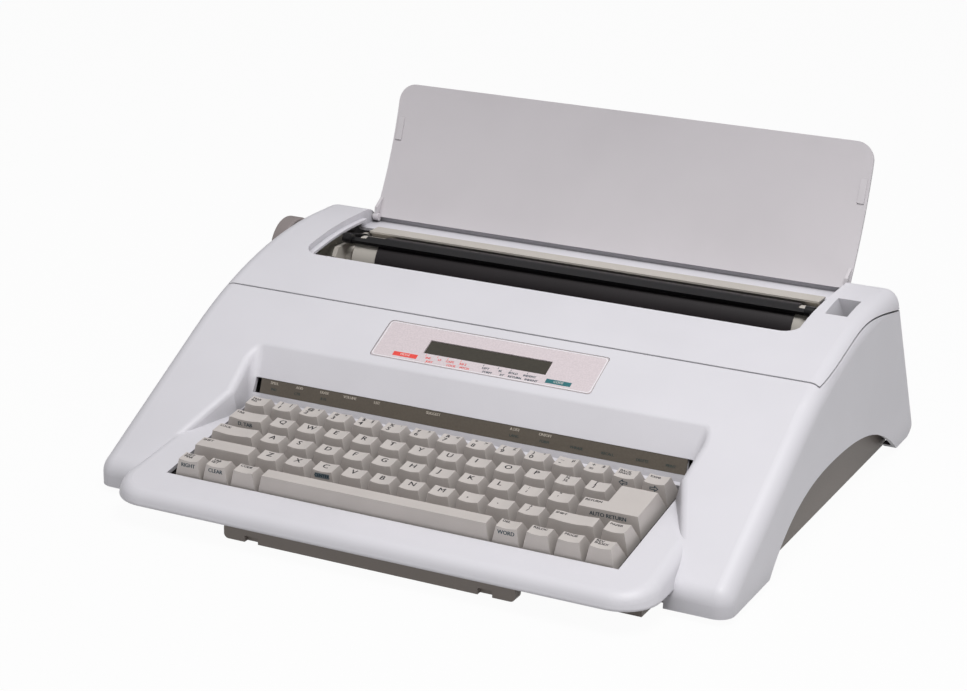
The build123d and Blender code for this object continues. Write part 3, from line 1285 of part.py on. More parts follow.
# Ribbon cassette
with BuildPart() as ribbon_cassette:
    with BuildSketch(Plane.XY.offset(CASSETTE_Z[0])) as plan:
        with Locations((CARRIAGE_X, (CASSETTE_Y[0] + CASSETTE_Y[1]) / 2)):
            Rectangle(2 * CASSETTE_HALF, CASSETTE_Y[1] - CASSETTE_Y[0])
        fillet(plan.vertices().group_by(Axis.Y)[0], 10)
        with Locations((CARRIAGE_X, (CASSETTE_NOTCH_Y + CASSETTE_Y[1] + 10) / 2)):
            Rectangle(22, CASSETTE_Y[1] + 10 - CASSETTE_NOTCH_Y, mode=Mode.SUBTRACT)
    extrude(amount=CASSETTE_Z[1] - CASSETTE_Z[0])
    for side in (-1, 1):
        arm = CARRIAGE_X + side * (CASSETTE_HALF - 4)
        arm_z = (CASSETTE_Z[0] + 1, CASSETTE_Z[1] - 1)
        block((arm - 3, arm + 3), (CASSETTE_Y[1] - 1, RIBBON_Y + 1), arm_z)
        spool = CARRIAGE_X + side * 28
        with BuildSketch(Plane.XY.offset(CASSETTE_Z[1])):
            with Locations((spool, (CASSETTE_Y[0] + CASSETTE_Y[1]) / 2)):
                Circle(7)
        extrude(amount=0.8)
    block(
        (CARRIAGE_X - CASSETTE_HALF + 2, CARRIAGE_X + CASSETTE_HALF - 2),
        (RIBBON_Y, RIBBON_Y + 0.4),
        (CASSETTE_Z[0] + 2, CASSETTE_Z[1] - 2),
    )
save(ribbon_cassette, "ribbon_cassette")

# Carriage belt, pulleys and motor
with BuildPart() as carriage_belt:
    span = PULLEY_X[1] - PULLEY_X[0]
    with BuildSketch(Plane.XZ.offset(-BELT_Y)):
        with Locations(((PULLEY_X[0] + PULLEY_X[1]) / 2, PULLEY_Z)):
            SlotCenterToCenter(span, 2 * (PULLEY_R + BELT_THICK))
            SlotCenterToCenter(span, 2 * (PULLEY_R + BELT_GAP), mode=Mode.SUBTRACT)
    extrude(amount=-BELT_WIDE)
save(carriage_belt, "carriage_belt")

with BuildPart() as belt_drive_pulley:
    with BuildSketch(Plane.XZ.offset(-BELT_Y + 0.6)):
        with Locations((PULLEY_X[0], PULLEY_Z)):
            Circle(PULLEY_R)
    extrude(amount=-BELT_WIDE - 1)
    with BuildSketch(Plane.XZ.offset(-CROSS_Y + 8)):
        with Locations((PULLEY_X[0], PULLEY_Z)):
            Circle(MOTOR_SHAFT_R)
    extrude(amount=-(BELT_Y - CROSS_Y + 8 + BELT_WIDE))
save(belt_drive_pulley, "belt_drive_pulley")

with BuildPart() as belt_idler_pulley:
    with BuildSketch(Plane.XZ.offset(-BELT_Y + 0.6)):
        with Locations((PULLEY_X[1], PULLEY_Z)):
            Circle(PULLEY_R)
            Circle(BAIL_STUD_R + RUN_CLEAR, mode=Mode.SUBTRACT)
    extrude(amount=-BELT_WIDE - 1)
save(belt_idler_pulley, "belt_idler_pulley")

with BuildPart() as carriage_motor:
    with BuildSketch(Plane.XZ.offset(-CROSS_Y + CARRIAGE_MOTOR_LONG)):
        with Locations((PULLEY_X[0], PULLEY_Z)):
            Circle(LINE_MOTOR_R)
    extrude(amount=-CARRIAGE_MOTOR_LONG)
    with BuildSketch(Plane.XZ.offset(-CROSS_Y + 9)):
        with Locations((PULLEY_X[0], PULLEY_Z)):
            Circle(MOTOR_SHAFT_R + RUN_CLEAR)
    extrude(amount=-10, mode=Mode.SUBTRACT)
save(carriage_motor, "carriage_motor")

# Main board and transformer
with BuildPart() as main_board:
    block(MAIN_BOARD_X, MAIN_BOARD_Y, (MAIN_BOARD_Z, MAIN_BOARD_Z + BOARD_THICK))
    top = MAIN_BOARD_Z + BOARD_THICK
    for chip_x, chip_y, long, wide, tall in MAIN_CHIPS:
        block(
            (chip_x - long / 2, chip_x + long / 2),
            (chip_y - wide / 2, chip_y + wide / 2),
            (top - 0.2, top + tall),
        )
save(main_board, "main_board")

with BuildPart() as transformer:
    block(TRANSFORMER_X, TRANSFORMER_Y, (FLOOR_Z, TRANSFORMER_Z))
    block(
        (TRANSFORMER_X[0] - 8, TRANSFORMER_X[1] + 8),
        (TRANSFORMER_Y[0] + 10, TRANSFORMER_Y[1] - 10),
        (FLOOR_Z + 8, TRANSFORMER_Z - 8),
    )
    block((TRANSFORMER_X[0] - 8, TRANSFORMER_X[1] + 8), TRANSFORMER_Y, (FLOOR_Z, FLOOR_Z + 1.5))
save(transformer, "transformer")

# Keyboard: every cap as left edge, width and row, all in key units
ROW_V = (UNIT, 0.0, -UNIT, -2 * UNIT, -3 * UNIT)
KEY_NODES = {
    "margin_key": ((0.0, 1.0, 0),),
    "number_keys": tuple((1.0 + step, 1.0, 0) for step in range(12)),
    "backspace_key": ((13.0, 1.0, 0),),
    "express_key": ((14.0, 1.0, 0),),
    "tab_key": ((0.0, 1.5, 1),),
    "upper_letter_keys": tuple((1.5 + step, 1.0, 1) for step in range(12)),
    "lock_key": ((0.0, 1.75, 2),),
    "home_letter_keys": tuple((1.75 + step, 1.0, 2) for step in range(11)),
    "left_shift_key": ((0.0, 2.25, 3),),
    "lower_letter_keys": tuple((2.25 + step, 1.0, 3) for step in range(10)),
    "right_shift_key": ((12.25, 1.75, 3),),
    "paper_key": ((14.0, 1.0, 3),),
    "left_code_keys": tuple((0.0 + step, 1.0, 4) for step in range(3)),
    "space_bar": ((3.0, 8.0, 4),),
    "right_code_keys": tuple((11.0 + step, 1.0, 4) for step in range(4)),
}
RETURN_UPPER = (13.5, 15.0)
RETURN_LOWER = (12.75, 15.0)


def unit_x(unit):
    """Distance from the middle of the keyboard to a place along its rows."""
    return (unit - BLOCK_UNITS / 2) * UNIT + KEY_SHIFT


def key_spot(left, wide, row):
    """Middle of a cap on the key plane."""
    return unit_x(left + wide / 2), ROW_V[row]


def add_cap(left, wide, row):
    """One cap with sloping sides, a dished top and its stem."""
    middle, row_v = key_spot(left, wide, row)
    top_v = row_v - CAP_TOP_SHIFT
    top_deep = CAP_TOP_DEPTH - (CAP_FRONT_TRIM if row == 4 else 0)
    with BuildSketch(KEY_PLANE.offset(-CAP_HEIGHT)) as foot:
        with Locations((middle, row_v)):
            Rectangle(wide * UNIT - CAP_GAP, UNIT - CAP_GAP)
    with BuildSketch(KEY_PLANE) as crown:
        with Locations((middle, top_v)):
            Rectangle(wide * UNIT - CAP_TOP_TRIM, top_deep)
    loft([foot.sketch, crown.sketch], ruled=True)
    if wide < 2:
        dish_r = DISH_R * wide**2
        across = Plane(KEY_PLANE.origin, x_dir=(1, 0, 0), z_dir=-KEY_PLANE.y_dir)
        with BuildSketch(across.offset(-row_v - UNIT / 2)) as dish:
            with Locations((middle, dish_r - DISH_DEPTH)):
                Circle(dish_r)
        extrude(dish.sketch, amount=UNIT, mode=Mode.SUBTRACT)
    with BuildSketch(KEY_PLANE.offset(-STEM_LOW)) as stem:
        with Locations((middle, row_v)):
            Rectangle(STEM, STEM)
    extrude(stem.sketch, amount=STEM_LOW - CAP_HEIGHT + 1)


for name, caps in KEY_NODES.items():
    with BuildPart() as key_piece:
        for left, wide, row in caps:
            add_cap(left, wide, row)
    save(key_piece, name)

# Return key, two rows deep with a step on its left
with BuildPart() as return_key:
    margin = CAP_GAP / 2
    side_trim = (CAP_TOP_TRIM - CAP_GAP) / 2
    front_trim = (UNIT - CAP_GAP - CAP_TOP_DEPTH) / 2 - CAP_TOP_SHIFT
    rear_trim = (UNIT - CAP_GAP - CAP_TOP_DEPTH) / 2 + CAP_TOP_SHIFT
    low_x = unit_x(RETURN_LOWER[0]) + margin
    step_x = unit_x(RETURN_UPPER[0]) + margin
    end_x = unit_x(RETURN_LOWER[1]) - margin
    low_v = ROW_V[2] - UNIT / 2 + margin
    step_v = ROW_V[2] + UNIT / 2 - margin
    end_v = ROW_V[1] + UNIT / 2 - margin
    with BuildSketch(KEY_PLANE.offset(-CAP_HEIGHT)):
        with BuildLine():
            Polyline(
                (low_x, low_v), (end_x, low_v), (end_x, end_v), (step_x, end_v), (step_x, step_v),
                (low_x, step_v), close=True,
            )
        make_face()
    with BuildSketch(KEY_PLANE):
        with BuildLine():
            Polyline(
                (low_x + side_trim, low_v + front_trim), (end_x - side_trim, low_v + front_trim),
                (end_x - side_trim, end_v - rear_trim), (step_x + side_trim, end_v - rear_trim),
                (step_x + side_trim, step_v - rear_trim), (low_x + side_trim, step_v - rear_trim),
                close=True,
            )
        make_face()
    loft(ruled=True)
    with BuildSketch(KEY_PLANE.offset(-STEM_LOW)):
        with Locations(key_spot(RETURN_UPPER[0], RETURN_UPPER[1] - RETURN_UPPER[0], 2)):
            Rectangle(STEM, STEM)
    extrude(amount=STEM_LOW - CAP_HEIGHT + 1)
save(return_key, "return_key")

STEM_SPOTS = [key_spot(*cap) for caps in KEY_NODES.values() for cap in caps]
STEM_SPOTS.append(key_spot(RETURN_UPPER[0], RETURN_UPPER[1] - RETURN_UPPER[0], 2))
PLATE_MID_V = (PLATE_FRONT_V + PLATE_REAR_V) / 2
PLATE_DEEP = PLATE_REAR_V - PLATE_FRONT_V

# Key plate with its rim, contact membrane and keyboard board
with BuildPart() as key_plate:
    rim_low = SHEET_TOP + SHEET_THICK
    with BuildSketch(KEY_PLANE.offset(-rim_low)):
        with Locations((0, PLATE_MID_V)):
            Rectangle(2 * PLATE_HALF, PLATE_DEEP)
            Rectangle(2 * (PLATE_HALF - RIM), PLATE_DEEP - 2 * RIM, mode=Mode.SUBTRACT)
    extrude(amount=rim_low - KEY_STAND - WALL)
    # The front of the rim stops at the plate, because the caps of the front row go down over it
    with BuildSketch(KEY_PLANE.offset(-PLATE_TOP)):
        with Locations((0, PLATE_FRONT_V + RIM / 2)):
            Rectangle(2 * (PLATE_HALF - RIM), RIM)
    extrude(amount=PLATE_TOP - KEY_STAND, mode=Mode.SUBTRACT)
    with BuildSketch(KEY_PLANE.offset(-PLATE_TOP - PLATE_THICK)):
        with Locations((0, PLATE_MID_V)):
            Rectangle(2 * PLATE_HALF - RIM, PLATE_DEEP - RIM)
        with Locations(*STEM_SPOTS):
            Rectangle(STEM + 2 * STEM_CLEAR, STEM + 2 * STEM_CLEAR, mode=Mode.SUBTRACT)
    extrude(amount=PLATE_THICK)
save(key_plate, "key_plate")

with BuildPart() as contact_membrane:
    with BuildSketch(KEY_PLANE.offset(-SHEET_TOP - SHEET_THICK)):
        with Locations((0, PLATE_MID_V)):
            Rectangle(2 * (PLATE_HALF - RIM - SHEET_PLAY), PLATE_DEEP - 2 * (RIM + SHEET_PLAY))
    extrude(amount=SHEET_THICK)
    with BuildSketch(KEY_PLANE.offset(-SHEET_TOP)):
        with Locations(*STEM_SPOTS):
            RegularPolygon(PAD_R, 6)
    extrude(amount=SHEET_TOP - PAD_TOP)
save(contact_membrane, "contact_membrane")

with BuildPart() as keyboard_board:
    with BuildSketch(KEY_PLANE.offset(-SHEET_TOP - SHEET_THICK - BOARD_THICK)):
        with Locations((0, PLATE_MID_V)):
            Rectangle(2 * PLATE_HALF, PLATE_DEEP)
    extrude(amount=BOARD_THICK)
save(keyboard_board, "keyboard_board")
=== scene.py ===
import json
import math

import bmesh
import bpy
from mathutils import Matrix, Vector
from mathutils.bvhtree import BVHTree

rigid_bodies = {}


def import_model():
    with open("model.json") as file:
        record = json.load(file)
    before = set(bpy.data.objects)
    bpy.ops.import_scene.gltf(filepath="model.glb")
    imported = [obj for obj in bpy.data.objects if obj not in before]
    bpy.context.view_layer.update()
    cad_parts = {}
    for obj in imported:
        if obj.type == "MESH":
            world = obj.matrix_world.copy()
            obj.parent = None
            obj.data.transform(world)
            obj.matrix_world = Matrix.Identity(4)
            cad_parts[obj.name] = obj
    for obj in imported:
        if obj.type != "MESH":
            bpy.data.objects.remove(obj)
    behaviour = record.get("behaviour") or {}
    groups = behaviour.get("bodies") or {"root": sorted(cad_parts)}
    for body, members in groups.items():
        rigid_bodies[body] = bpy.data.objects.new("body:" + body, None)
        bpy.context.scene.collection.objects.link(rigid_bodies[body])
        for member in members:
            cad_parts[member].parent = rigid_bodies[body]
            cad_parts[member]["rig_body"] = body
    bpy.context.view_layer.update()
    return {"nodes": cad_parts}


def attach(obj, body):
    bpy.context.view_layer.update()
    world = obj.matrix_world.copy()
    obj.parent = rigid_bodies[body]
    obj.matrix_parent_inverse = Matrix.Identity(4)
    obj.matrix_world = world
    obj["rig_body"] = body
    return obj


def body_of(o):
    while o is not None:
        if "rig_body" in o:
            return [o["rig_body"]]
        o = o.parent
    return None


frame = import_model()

bl_info = {
    "name": "Electronic typewriter",
    "version": (1, 0, 0),
    "blender": (4, 5, 0),
    "location": "3D View > Sidebar > Typewriter",
    "description": "Gives the packed typewriter its finishes, printed words and stage",
    "category": "Object",
}

MM = 0.001
ALONG_X = Vector((1, 0, 0))
WHITE = (1, 1, 1, 1)

# Key plane of the solids: the tops of the caps lie on it
KEY_ORIGIN = Vector((0.0, -96.4, 47.04)) * MM
KEY_TILT = math.radians(8.616)
UNIT = 19.05 * MM
BLOCK_UNITS = 15.0
CAP_GAP = 0.75 * MM
CAP_HEIGHT = 13.3 * MM
CAP_TOP_DEPTH = 9.8 * MM
CAP_TOP_TRIM = 6.4 * MM
CAP_TOP_SHIFT = 2.1 * MM
CAP_FRONT_TRIM = 1.6 * MM
KEY_SHIFT = 0.9 * MM
NUMBER_ROW, UPPER_ROW, HOME_ROW, LOWER_ROW, FRONT_ROW = range(5)

# Nodes that hold the caps
KEY_CAPS = (
    "margin_key", "number_keys", "backspace_key", "express_key", "tab_key", "upper_letter_keys",
    "return_key", "lock_key", "home_letter_keys", "left_shift_key", "lower_letter_keys",
    "right_shift_key", "paper_key", "left_code_keys", "space_bar", "right_code_keys",
)

# Display panel and function strip
PANEL_ORIGIN = Vector((-1.2, -26.0, 85.0)) * MM
PANEL_TILT = math.radians(25.7)
PANEL_SIZE = (149.6 * MM, 32.4 * MM)
STRIP_LOW = Vector((0.0, -60.5, 47.1)) * MM
STRIP_HIGH = Vector((0.0, -57.1, 56.3)) * MM

# Camera of the photograph
IMAGE_WIDTH = 967
FOCAL_PIXELS = 2406.65
SENSOR_MM = 36.0
CAMERA_PLACE = Vector((610.16, -1270.83, 560.87)) * MM
CAMERA_TURN = Vector((1.85418, 0.45052, -0.29919))
CAMERA_NEAR = 0.05
CAMERA_FAR = 50.0

# Lamps, in metres
KEY_LIGHT_PLACE = (0.5, -0.45, 1.55)
KEY_LIGHT_WIDE = 0.9
FILL_LIGHT_PLACE = (-1.4, -0.9, 1.0)
FILL_LIGHT_WIDE = 1.2
LIGHT_AIM = Vector((0, 0, 0.08))

# Refraction of plastics and of films, the range that noise seldom leaves, and how far roughness strays
PLASTIC_IOR = 1.53
FILM_IOR = 1.5
NOISE_LOW = 0.3
NOISE_HIGH = 0.7
PLASTIC_STRAY = 0.05
METAL_STRAY_DOWN = 0.08
METAL_STRAY_UP = 0.1
STREAK_DEEP = 0.02 * MM

# Openness of a spot that gets the full painted shade and of one that gets none
SHADE_SHELTERED = 0.1
SHADE_OPEN = 0.8
SHADE_SAMPLES = 8

# How grain and streaks are drawn out along the axes
PLAIN = (1, 1, 1)
ROUND_THE_BAR = (1, 0.1, 0.1)
ROUND_THE_ROLLER = (1, 0.06, 0.06)

# Edge rounds: points closer than the weld are joined, edges that turn more than the angle are rounded
EDGE_WELD = 0.002 * MM
EDGE_ANGLE = math.radians(32)
SMALL_EDGE_STEPS = 2
CAP_EDGE_STEPS = 3

# Print films: share of the built in font's size that its capitals take, its line pitch, its curve steps,
# the strikes of a bold letter, and the lift of print on print in thicknesses of ink
CAPITAL_SHARE = 0.729
LINE_SHARE = 0.85
LETTER_STEPS = 3
BOLD = 2
OVERPRINT = 2

# Laying print on a solid: where rays start, how far they reach, and the distance of points that are one
CAST_ABOVE = 6.0 * MM
CAST_REACH = 20.0 * MM
POINT_MERGE = 0.001 * MM

# Printed marks: limit on mitred corners, strips of a bar, half the width of a tick, steps of a round corner
MITRE_LIMIT = 0.6
BAR_STEPS = 12
TICK_HALF = 0.15 * MM
CORNER_DEGREES = 15

# Inks that have no setting of their own
INK_CODES = {
    "pale": "E8E0DC", "grey": "A8A2A4", "panel_white": "F2EDF2", "box": "6E7880",
    "label_teal": "2F6F75", "strip_teal": "3E4A48",
}

# Words of the function strip: piece, ink, height on the strip in millimetres, places and words
STRIP_WORDS = (
    ("strip_words_white", "white", 2.5, (
        (-134, "SPELL"), (-116, "ADD"), (-98, "ERASE"), (-80, "VOLUME"), (-61, "LIST"), (-22, "SUGGEST"),
        (33, "A LIST"), (53, "ON/OFF"),
    )),
    ("strip_words_teal", "strip_teal", -1.4, (
        (-134, "IND"), (-117, "CTR"), (-98, "R FL"), (33, "LANG"), (53, "FORM"), (74, "PHRASE"),
        (94, "RECALL"), (116, "DELETE"), (134, "PRINT"),
    )),
)

# Print of the display panel, in millimetres from its middle
PANEL_CORNER = 2.6
PANEL_LINES = (("panel_outline", "grey", 0.1, 0.35), ("panel_outline_pale", "panel_white", 0.75, 0.6))
LABEL_SIZE = (16.6, 3.5)
PANEL_LABELS = (("red", "red", (-52.0, -11.4), "MODE"), ("teal", "label_teal", (52.0, -11.5), "CODE"))
PANEL_UPPER = -10.6
PANEL_LOWER = -13.6
LOWER_SHIFT = 2.2
TICK_TOP = -7.6
TICK_FOOT = -9.2
PANEL_WORDS = (
    ("red", (
        (-36.5, "INS", "JUST"), (-28.5, "LF", ""), (-21.5, "CAPS", "LOCK"), (-12.5, "KB 2", "PITCH"),
    )),
    ("teal", (
        (3.0, "LEFT", "FORM"), (13.0, "BL", "RT"), (21.5, "BOLD", "RETURN"), (32.5, "INDENT", "INDENT"),
    )),
)

# Digit keys: digit, its sign and a third sign, with their places from the middle of the cap in millimetres
DIGITS_LEFT = 1.0
DIGIT_SIGNS = (
    "1!|", "2@²", "3#³", "4$§", "5%´", "6¢^", "7&<", "8*>", "9(£", "0)°", "-_µ", "=+±",
)
SIGN_PLACES = ((-4.4, -1.6), (-4.2, 2.9), (2.2, 2.9))

# Letter keys: node, left edge in units, row, letters
LETTER_ROWS = (
    ("upper_letter_keys", 1.5, UPPER_ROW, (*"QWERTYUIOP", "¼\n½", "[\n]")),
    ("home_letter_keys", 1.75, HOME_ROW, (*"ASDFGHJKL", ":\n;", "\"\n'")),
    ("lower_letter_keys", 2.25, LOWER_ROW, (*"ZXCVBNM,.", "?\n/")),
)
LETTER_LEFT = 3.0 * MM
LETTER_UP = 1.4 * MM

# Other keys: node, left edge in units, width in units, row, top words, front word or arrow
WORD_KEYS = (
    ("margin_key", 0.0, 1.0, NUMBER_ROW, "MAR\nREL", ""),
    ("backspace_key", 13.0, 1.0, NUMBER_ROW, "BACK\nSPACE", "<"),
    ("express_key", 14.0, 1.0, NUMBER_ROW, "EXPR", ">"),
    ("tab_key", 0.0, 1.5, UPPER_ROW, "TAB", "D. TAB"),
    ("lock_key", 0.0, 1.75, HOME_ROW, "LOCK", ""),
    ("left_shift_key", 0.0, 2.25, LOWER_ROW, "SHIFT", ""),
    ("right_shift_key", 12.25, 1.75, LOWER_ROW, "SHIFT", ""),
    ("paper_key", 14.0, 1.0, LOWER_ROW, "PAPER", ""),
    ("left_code_keys", 0.0, 1.0, FRONT_ROW, "LEFT\nMAR", "RIGHT"),
    ("left_code_keys", 1.0, 1.0, FRONT_ROW, "TAB\nSET", "CLEAR"),
    ("left_code_keys", 2.0, 1.0, FRONT_ROW, "CODE", ""),
    ("right_code_keys", 11.0, 1.0, FRONT_ROW, "DEL", "WORD"),
    ("right_code_keys", 12.0, 1.0, FRONT_ROW, "RELOC", ""),
    ("right_code_keys", 13.0, 1.0, FRONT_ROW, "MODE", ""),
    ("right_code_keys", 14.0, 1.0, FRONT_ROW, "REV\nINDEX", ""),
    ("return_key", 12.75, 2.25, HOME_ROW, "RETURN", "AUTO RETURN"),
)
WORD_IN = 1.0 * MM
WORD_UP = 2.6 * MM
PAIR_UP = 1.5 * MM
FRONT_UP = 3.4 * MM

# Arrows on key fronts: the way each points, and the outline of one that points right, in millimetres
ARROW_WAYS = {"<": -1, ">": 1}
ARROW_SHAPE = ((-2.6, 0.8), (0.2, 0.8), (0.2, 2.0), (2.8, 0.0), (0.2, -2.0), (0.2, -0.8), (-2.6, -0.8))
ARROW_LINE = 0.4 * MM

# Boxed word on the front of one letter key: left edge in units, size of the box in millimetres
BOXED_NODE = "lower_letter_keys"
BOXED_LEFT = 4.25
BOXED_WORD = "CENTER"
BOX_SIZE = (9.6, 3.0)


def srgb(code):
    """Linear colour of an sRGB hex value."""
    parts = [int(code[i:i + 2], 16) / 255 for i in (0, 2, 4)]
    return tuple(p / 12.92 if p <= 0.04045 else ((p + 0.055) / 1.055) ** 2.4 for p in parts) + (1.0,)


def colour(name, description, code):
    """A colour that the user can change."""
    return bpy.props.FloatVectorProperty(
        name=name, description=description, subtype="COLOR", size=4, min=0.0, max=1.0, default=srgb(code)
    )


def length(name, description, default):
    """A size in metres that the user can change."""
    return bpy.props.FloatProperty(
        name=name, description=description, unit="LENGTH", min=0.0, precision=5, default=default
    )


class TYPEWRITER_PG_finish(bpy.types.PropertyGroup):
    """Colours of the mouldings, films and metals."""

    shell: colour("Shell", "Cool white of the housing and its cover", "E6E4EA")
    lid: colour("Paper lid", "Light grey of the lid that holds the paper up", "DAD5D9")
    base: colour("Base", "Taupe of the base tray and carry handle", "8A817B")
    knob: colour("Knob", "Warm grey of the platen knob", "948B8A")
    caps: colour("Key caps", "Warm light grey of the caps", "CEC7C3")
    strip: colour("Function strip", "Dark taupe film above the keys", "6A6258")
    panel: colour("Display panel", "Pinkish film round the display", "E6DADE")
    display: colour("Display", "Olive glass of the resting display", "46423A")
    platen: colour("Platen", "Brown black of the platen rubber", "211B1E")
    black: colour("Black parts", "Moulded black of bail, cassette, carriage and switch", "161517")
    steel: colour("Steel", "Zinc plated sheet of the works", "B4B4AE")
    acetal: colour("Gears", "Natural acetal of gears and pulleys", "E6E2D6")
    frame: colour("Frames", "Cream moulding of the side frames, paper pan and platen ends", "C9C3BB")
    board: colour("Boards", "Solder mask of the circuit boards", "2F5A38")
    edge_round: length("Edge round", "Radius on the edges of caps, handle, knob and rocker", 0.5 * MM)


class TYPEWRITER_PG_words(bpy.types.PropertyGroup):
    """Sizes and colours of the printed words."""

    black: colour("Black ink", "Ink of the key tops", "17161C")
    teal: colour("Teal ink", "Ink of the second functions", "1A3E4C")
    white: colour("White ink", "Ink of the strip's upper words", "C9C0B4")
    red: colour("Red ink", "Ink of the first label", "F0524A")
    letter: length("Letter height", "Capital height of the letter keys", 4.3 * MM)
    digit: length("Digit height", "Height of the digits", 3.7 * MM)
    sign: length("Sign height", "Height of the small signs", 3.0 * MM)
    word: length("Word height", "Capital height of the words on key tops", 2.0 * MM)
    front: length("Front word height", "Capital height of the words on key fronts", 2.4 * MM)
    label: length("Label height", "Capital height of the words on strip and panel", 1.7 * MM)
    strike: length("Strike", "How far the second strike of a bold letter stands aside", 0.16 * MM)
    ink: length("Ink", "Thickness of the printed film", 0.06 * MM)


class TYPEWRITER_PG_stage(bpy.types.PropertyGroup):
    """Floor and light."""

    floor: colour("Floor", "Pale studio floor", "D0D0D0")
    floor_size: length("Floor size", "Side of the square floor", 8.0)
    floor_white: bpy.props.FloatProperty(
        name="Floor white", description="Share of plain white in what is seen of the floor", min=0.0, max=1.0,
        subtype="FACTOR", default=0.96
    )
    key_power: bpy.props.FloatProperty(
        name="Key light", description="Power of the large light above the front right", min=0.0, default=20.0
    )
    fill_power: bpy.props.FloatProperty(
        name="Fill light", description="Power of the weak light on the left", min=0.0, default=0.5
    )
    sky: bpy.props.FloatProperty(
        name="Sky", description="Strength of the even light all round", min=0.0, default=0.25
    )


def add_node(tree, kind, settings=None, inputs=None, stops=()):
    """Adds one node with its settings and the stops of its ramp, then sets or links its inputs."""
    made = tree.nodes.new(kind)
    for name, value in (settings or {}).items():
        setattr(made, name, value)
    for i, (position, tone) in enumerate(stops):
        made.color_ramp.elements[i].position = position
        made.color_ramp.elements[i].color = tone
    for name, value in (inputs or {}).items():
        if isinstance(value, bpy.types.NodeSocket):
            tree.links.new(value, made.inputs[name])
        else:
            made.inputs[name].default_value = value
    return made


def new_material(name):
    """An empty node material and its tree."""
    material = bpy.data.materials.new(name)
    material.use_nodes = True
    material.node_tree.nodes.clear()
    return material, material.node_tree


def per_metre(size_mm):
    """Texture scale that gives features of a size in millimetres."""
    return 1.0 / (size_mm * MM)


def shade(tone, share):
    """The same colour, darker or lighter by a share."""
    return tuple(min(1.0, part * share) for part in tone[:3]) + (1.0,)


def moulded_plastic(
    name, tone, roughness, grain_mm, deep_mm, drift=0.94, stain_mm=70.0, stretch=PLAIN, shade_reach_mm=0.0,
    shade_darkest=1.0,
):
    """A moulded plastic: colour that drifts a little, the grain of the tool, and, if asked, painted shade in
    its corners, gaps and recesses.
    """
    material, tree = new_material(name)
    place = add_node(tree, "ShaderNodeTexCoord")
    mapped = add_node(
        tree, "ShaderNodeMapping", inputs={"Vector": place.outputs["Object"], "Scale": stretch}
    )
    grain = add_node(
        tree, "ShaderNodeTexNoise",
        inputs={"Vector": mapped.outputs[0], "Scale": per_metre(grain_mm), "Detail": 2.0, "Roughness": 0.6},
    )
    stain = add_node(
        tree, "ShaderNodeTexNoise",
        inputs={"Vector": place.outputs["Object"], "Scale": per_metre(stain_mm), "Detail": 3.0},
    )
    tint = add_node(
        tree, "ShaderNodeValToRGB", inputs={"Fac": stain.outputs["Fac"]},
        stops=((0.3, shade(tone, drift)), (0.6, tone)),
    )
    base = tint.outputs["Color"]
    # Painted shade: ambient occlusion darkens the colour in corners, gaps and recesses, where shade falls.
    if shade_reach_mm:
        corner = add_node(
            tree, "ShaderNodeAmbientOcclusion", settings={"samples": SHADE_SAMPLES},
            inputs={"Distance": shade_reach_mm * MM},
        )
        painted_shade = add_node(
            tree, "ShaderNodeMapRange",
            inputs={"Value": corner.outputs["AO"], "From Min": SHADE_SHELTERED, "From Max": SHADE_OPEN,
                    "To Min": shade_darkest, "To Max": 1.0},
        )
        shaded_base = add_node(
            tree, "ShaderNodeVectorMath", settings={"operation": "SCALE"},
            inputs={0: base, "Scale": painted_shade.outputs["Result"]},
        )
        base = shaded_base.outputs["Vector"]
    gloss = add_node(
        tree, "ShaderNodeMapRange",
        inputs={"Value": grain.outputs["Fac"], "From Min": NOISE_LOW, "From Max": NOISE_HIGH,
                "To Min": roughness - PLASTIC_STRAY, "To Max": roughness + PLASTIC_STRAY},
    )
    bump = add_node(
        tree, "ShaderNodeBump",
        inputs={"Height": grain.outputs["Fac"], "Strength": 0.5, "Distance": deep_mm * MM},
    )
    shader = add_node(
        tree, "ShaderNodeBsdfPrincipled",
        inputs={"Base Color": base, "Roughness": gloss.outputs["Result"],
                "Normal": bump.outputs["Normal"], "IOR": PLASTIC_IOR},
    )
    add_node(tree, "ShaderNodeOutputMaterial", inputs={"Surface": shader.outputs[0]})
    return material


def bare_metal(name, tone, roughness, streak_mm, stretch):
    """A bare metal with the fine streaks of turning, drawing or rolling."""
    material, tree = new_material(name)
    place = add_node(tree, "ShaderNodeTexCoord")
    mapped = add_node(
        tree, "ShaderNodeMapping", inputs={"Vector": place.outputs["Object"], "Scale": stretch}
    )
    streak = add_node(
        tree, "ShaderNodeTexNoise",
        inputs={"Vector": mapped.outputs[0], "Scale": per_metre(streak_mm), "Detail": 3.0},
    )
    gloss = add_node(
        tree, "ShaderNodeMapRange",
        inputs={"Value": streak.outputs["Fac"], "From Min": NOISE_LOW, "From Max": NOISE_HIGH,
                "To Min": roughness - METAL_STRAY_DOWN, "To Max": roughness + METAL_STRAY_UP},
    )
    tint = add_node(
        tree, "ShaderNodeValToRGB", inputs={"Fac": streak.outputs["Fac"]},
        stops=((NOISE_LOW, shade(tone, 0.82)), (NOISE_HIGH, tone)),
    )
    bump = add_node(
        tree, "ShaderNodeBump",
        inputs={"Height": streak.outputs["Fac"], "Strength": 0.3, "Distance": STREAK_DEEP},
    )
    shader = add_node(
        tree, "ShaderNodeBsdfPrincipled",
        inputs={"Base Color": tint.outputs["Color"], "Roughness": gloss.outputs["Result"],
                "Metallic": 1.0, "Normal": bump.outputs["Normal"]},
    )
    add_node(tree, "ShaderNodeOutputMaterial", inputs={"Surface": shader.outputs[0]})
    return material


